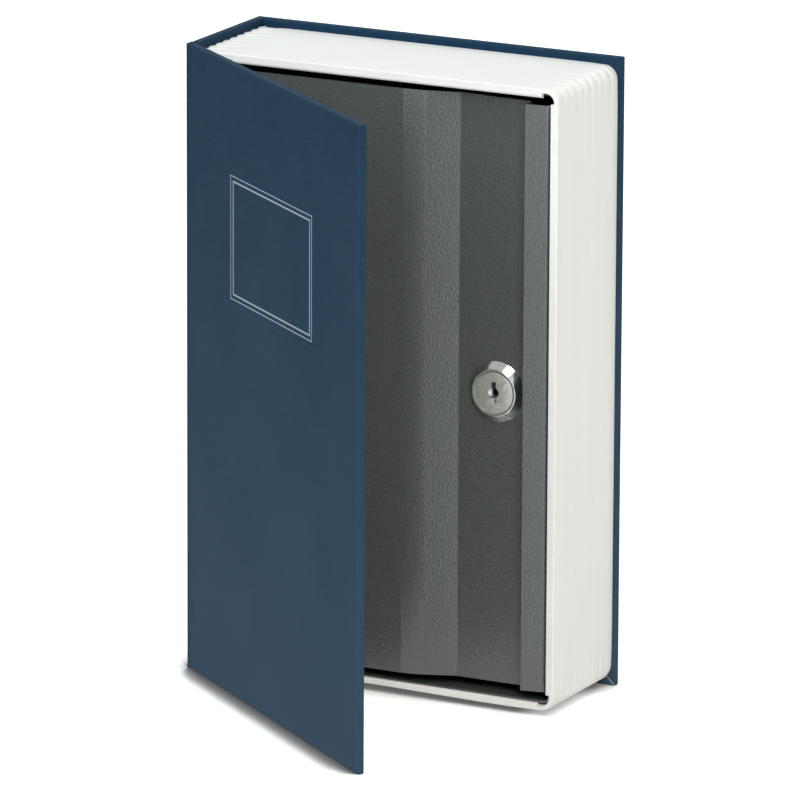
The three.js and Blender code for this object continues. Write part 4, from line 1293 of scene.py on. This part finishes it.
def keyed_disc(bm, radius, y0, y1, flared):
    before = set(bm.verts)
    keyway_outline(bm, y0)
    ring = bmesh.ops.create_circle(bm, segments=ROUND_STEPS, radius=radius)["verts"]
    bmesh.ops.rotate(bm, verts=ring, cent=(0, 0, 0), matrix=Matrix.Rotation(math.pi / 2, 3, "X"))
    bmesh.ops.translate(bm, verts=ring, vec=(LOCK_X, y0, LOCK_Z))
    fresh = [vert for vert in bm.verts if vert not in before]
    edges = list({edge for vert in fresh for edge in vert.link_edges})
    filled = bmesh.ops.triangle_fill(bm, edges=edges, use_beauty=True)["geom"]
    faces = [item for item in filled if isinstance(item, bmesh.types.BMFace)]
    deep = verts_in(bmesh.ops.extrude_face_region(bm, geom=faces)["geom"])
    bmesh.ops.translate(bm, vec=(0, y1 - y0, 0), verts=deep)
    narrow_keyway(deep if flared else [vert for vert in bm.verts if vert not in before])


def is_cap_rim(edge):
    outside = all(math.hypot(vert.co.x - LOCK_X, vert.co.z - LOCK_Z) > PLUG_RADIUS for vert in edge.verts)
    return is_square_edge(edge) and lies_at(edge, "y", LOCK_FACE_Y) and outside


plug_bm = bmesh.new()
cap_back = LOCK_FACE_Y + CAP_DEPTH
keyed_end = LOCK_FACE_Y + PLUG_KEYED_DEPTH
keyed_disc(plug_bm, CAP_RADIUS, LOCK_FACE_Y, cap_back, True)
face_outward(plug_bm)
round_edges(plug_bm, [edge for edge in plug_bm.edges if is_cap_rim(edge)], CAP_BURR, segments=3)
keyed_disc(plug_bm, PLUG_RADIUS, cap_back - PLUG_OVERLAP, keyed_end + PLUG_OVERLAP, False)
turn(
    plug_bm,
    [(0, keyed_end), (PLUG_RADIUS, keyed_end), (PLUG_RADIUS, BARREL_END_Y), (0, BARREL_END_Y)],
    closed=False,
)
slab(
    plug_bm,
    (LOCK_X - SHANK_HALF_WIDTH, BARREL_END_Y - SHANK_SINK, LOCK_Z - SHANK_HALF_WIDTH),
    (LOCK_X + SHANK_HALF_WIDTH, SHANK_END_Y, LOCK_Z + SHANK_HALF_WIDTH),
)
close_up(plug_bm)
satin = chrome_plate("satin_chrome", 0.42, SATIN_TONES)
make_piece("plug", plug_bm, satin, "lock_core", ["lock_plug"], flat_over=0.7 * MM)
for part in ("lock_washer", "stop_washer", "lock_nut", "lock_cam", "cam_screw"):
    refinish(part, steel)


# Wafers: thin stamped brass plates in the plug, seen through the keyway, each pushed out of it by
# a small steel spring
WAFERS = 5
# Painted shade: the brass colours are darkened so that the wafers look dark deep in the keyway.
BRASS_SHADED_DARK = (62, 52, 34)
BRASS_SHADED_LIGHT = (112, 92, 52)
BRASS_RELIEF = 0.01 * MM


def shade_darkened_brass():
    material, tree, shader = start_finish("shade_darkened_brass", 0.42, **{"Metallic": 0.9})
    place = object_place(tree)
    rolled = noise(tree, place, scale=1, detail=3.0, stretch=(2200, 500, 300))
    stain = noise(tree, place, scale=420, detail=3.0)
    colour = two_tone(tree, stain, 0.35, 0.65, BRASS_SHADED_DARK, BRASS_SHADED_LIGHT)
    cover_surface(tree, shader, colour, rolled, BRASS_RELIEF, rescale(tree, rolled, 0.3, 0.7, 0.25, 0.45))
    return material


brass = shade_darkened_brass()
for i in range(1, WAFERS + 1):
    refinish(f"wafer_{i}", brass)
    refinish(f"wafer_spring_{i}", steel)
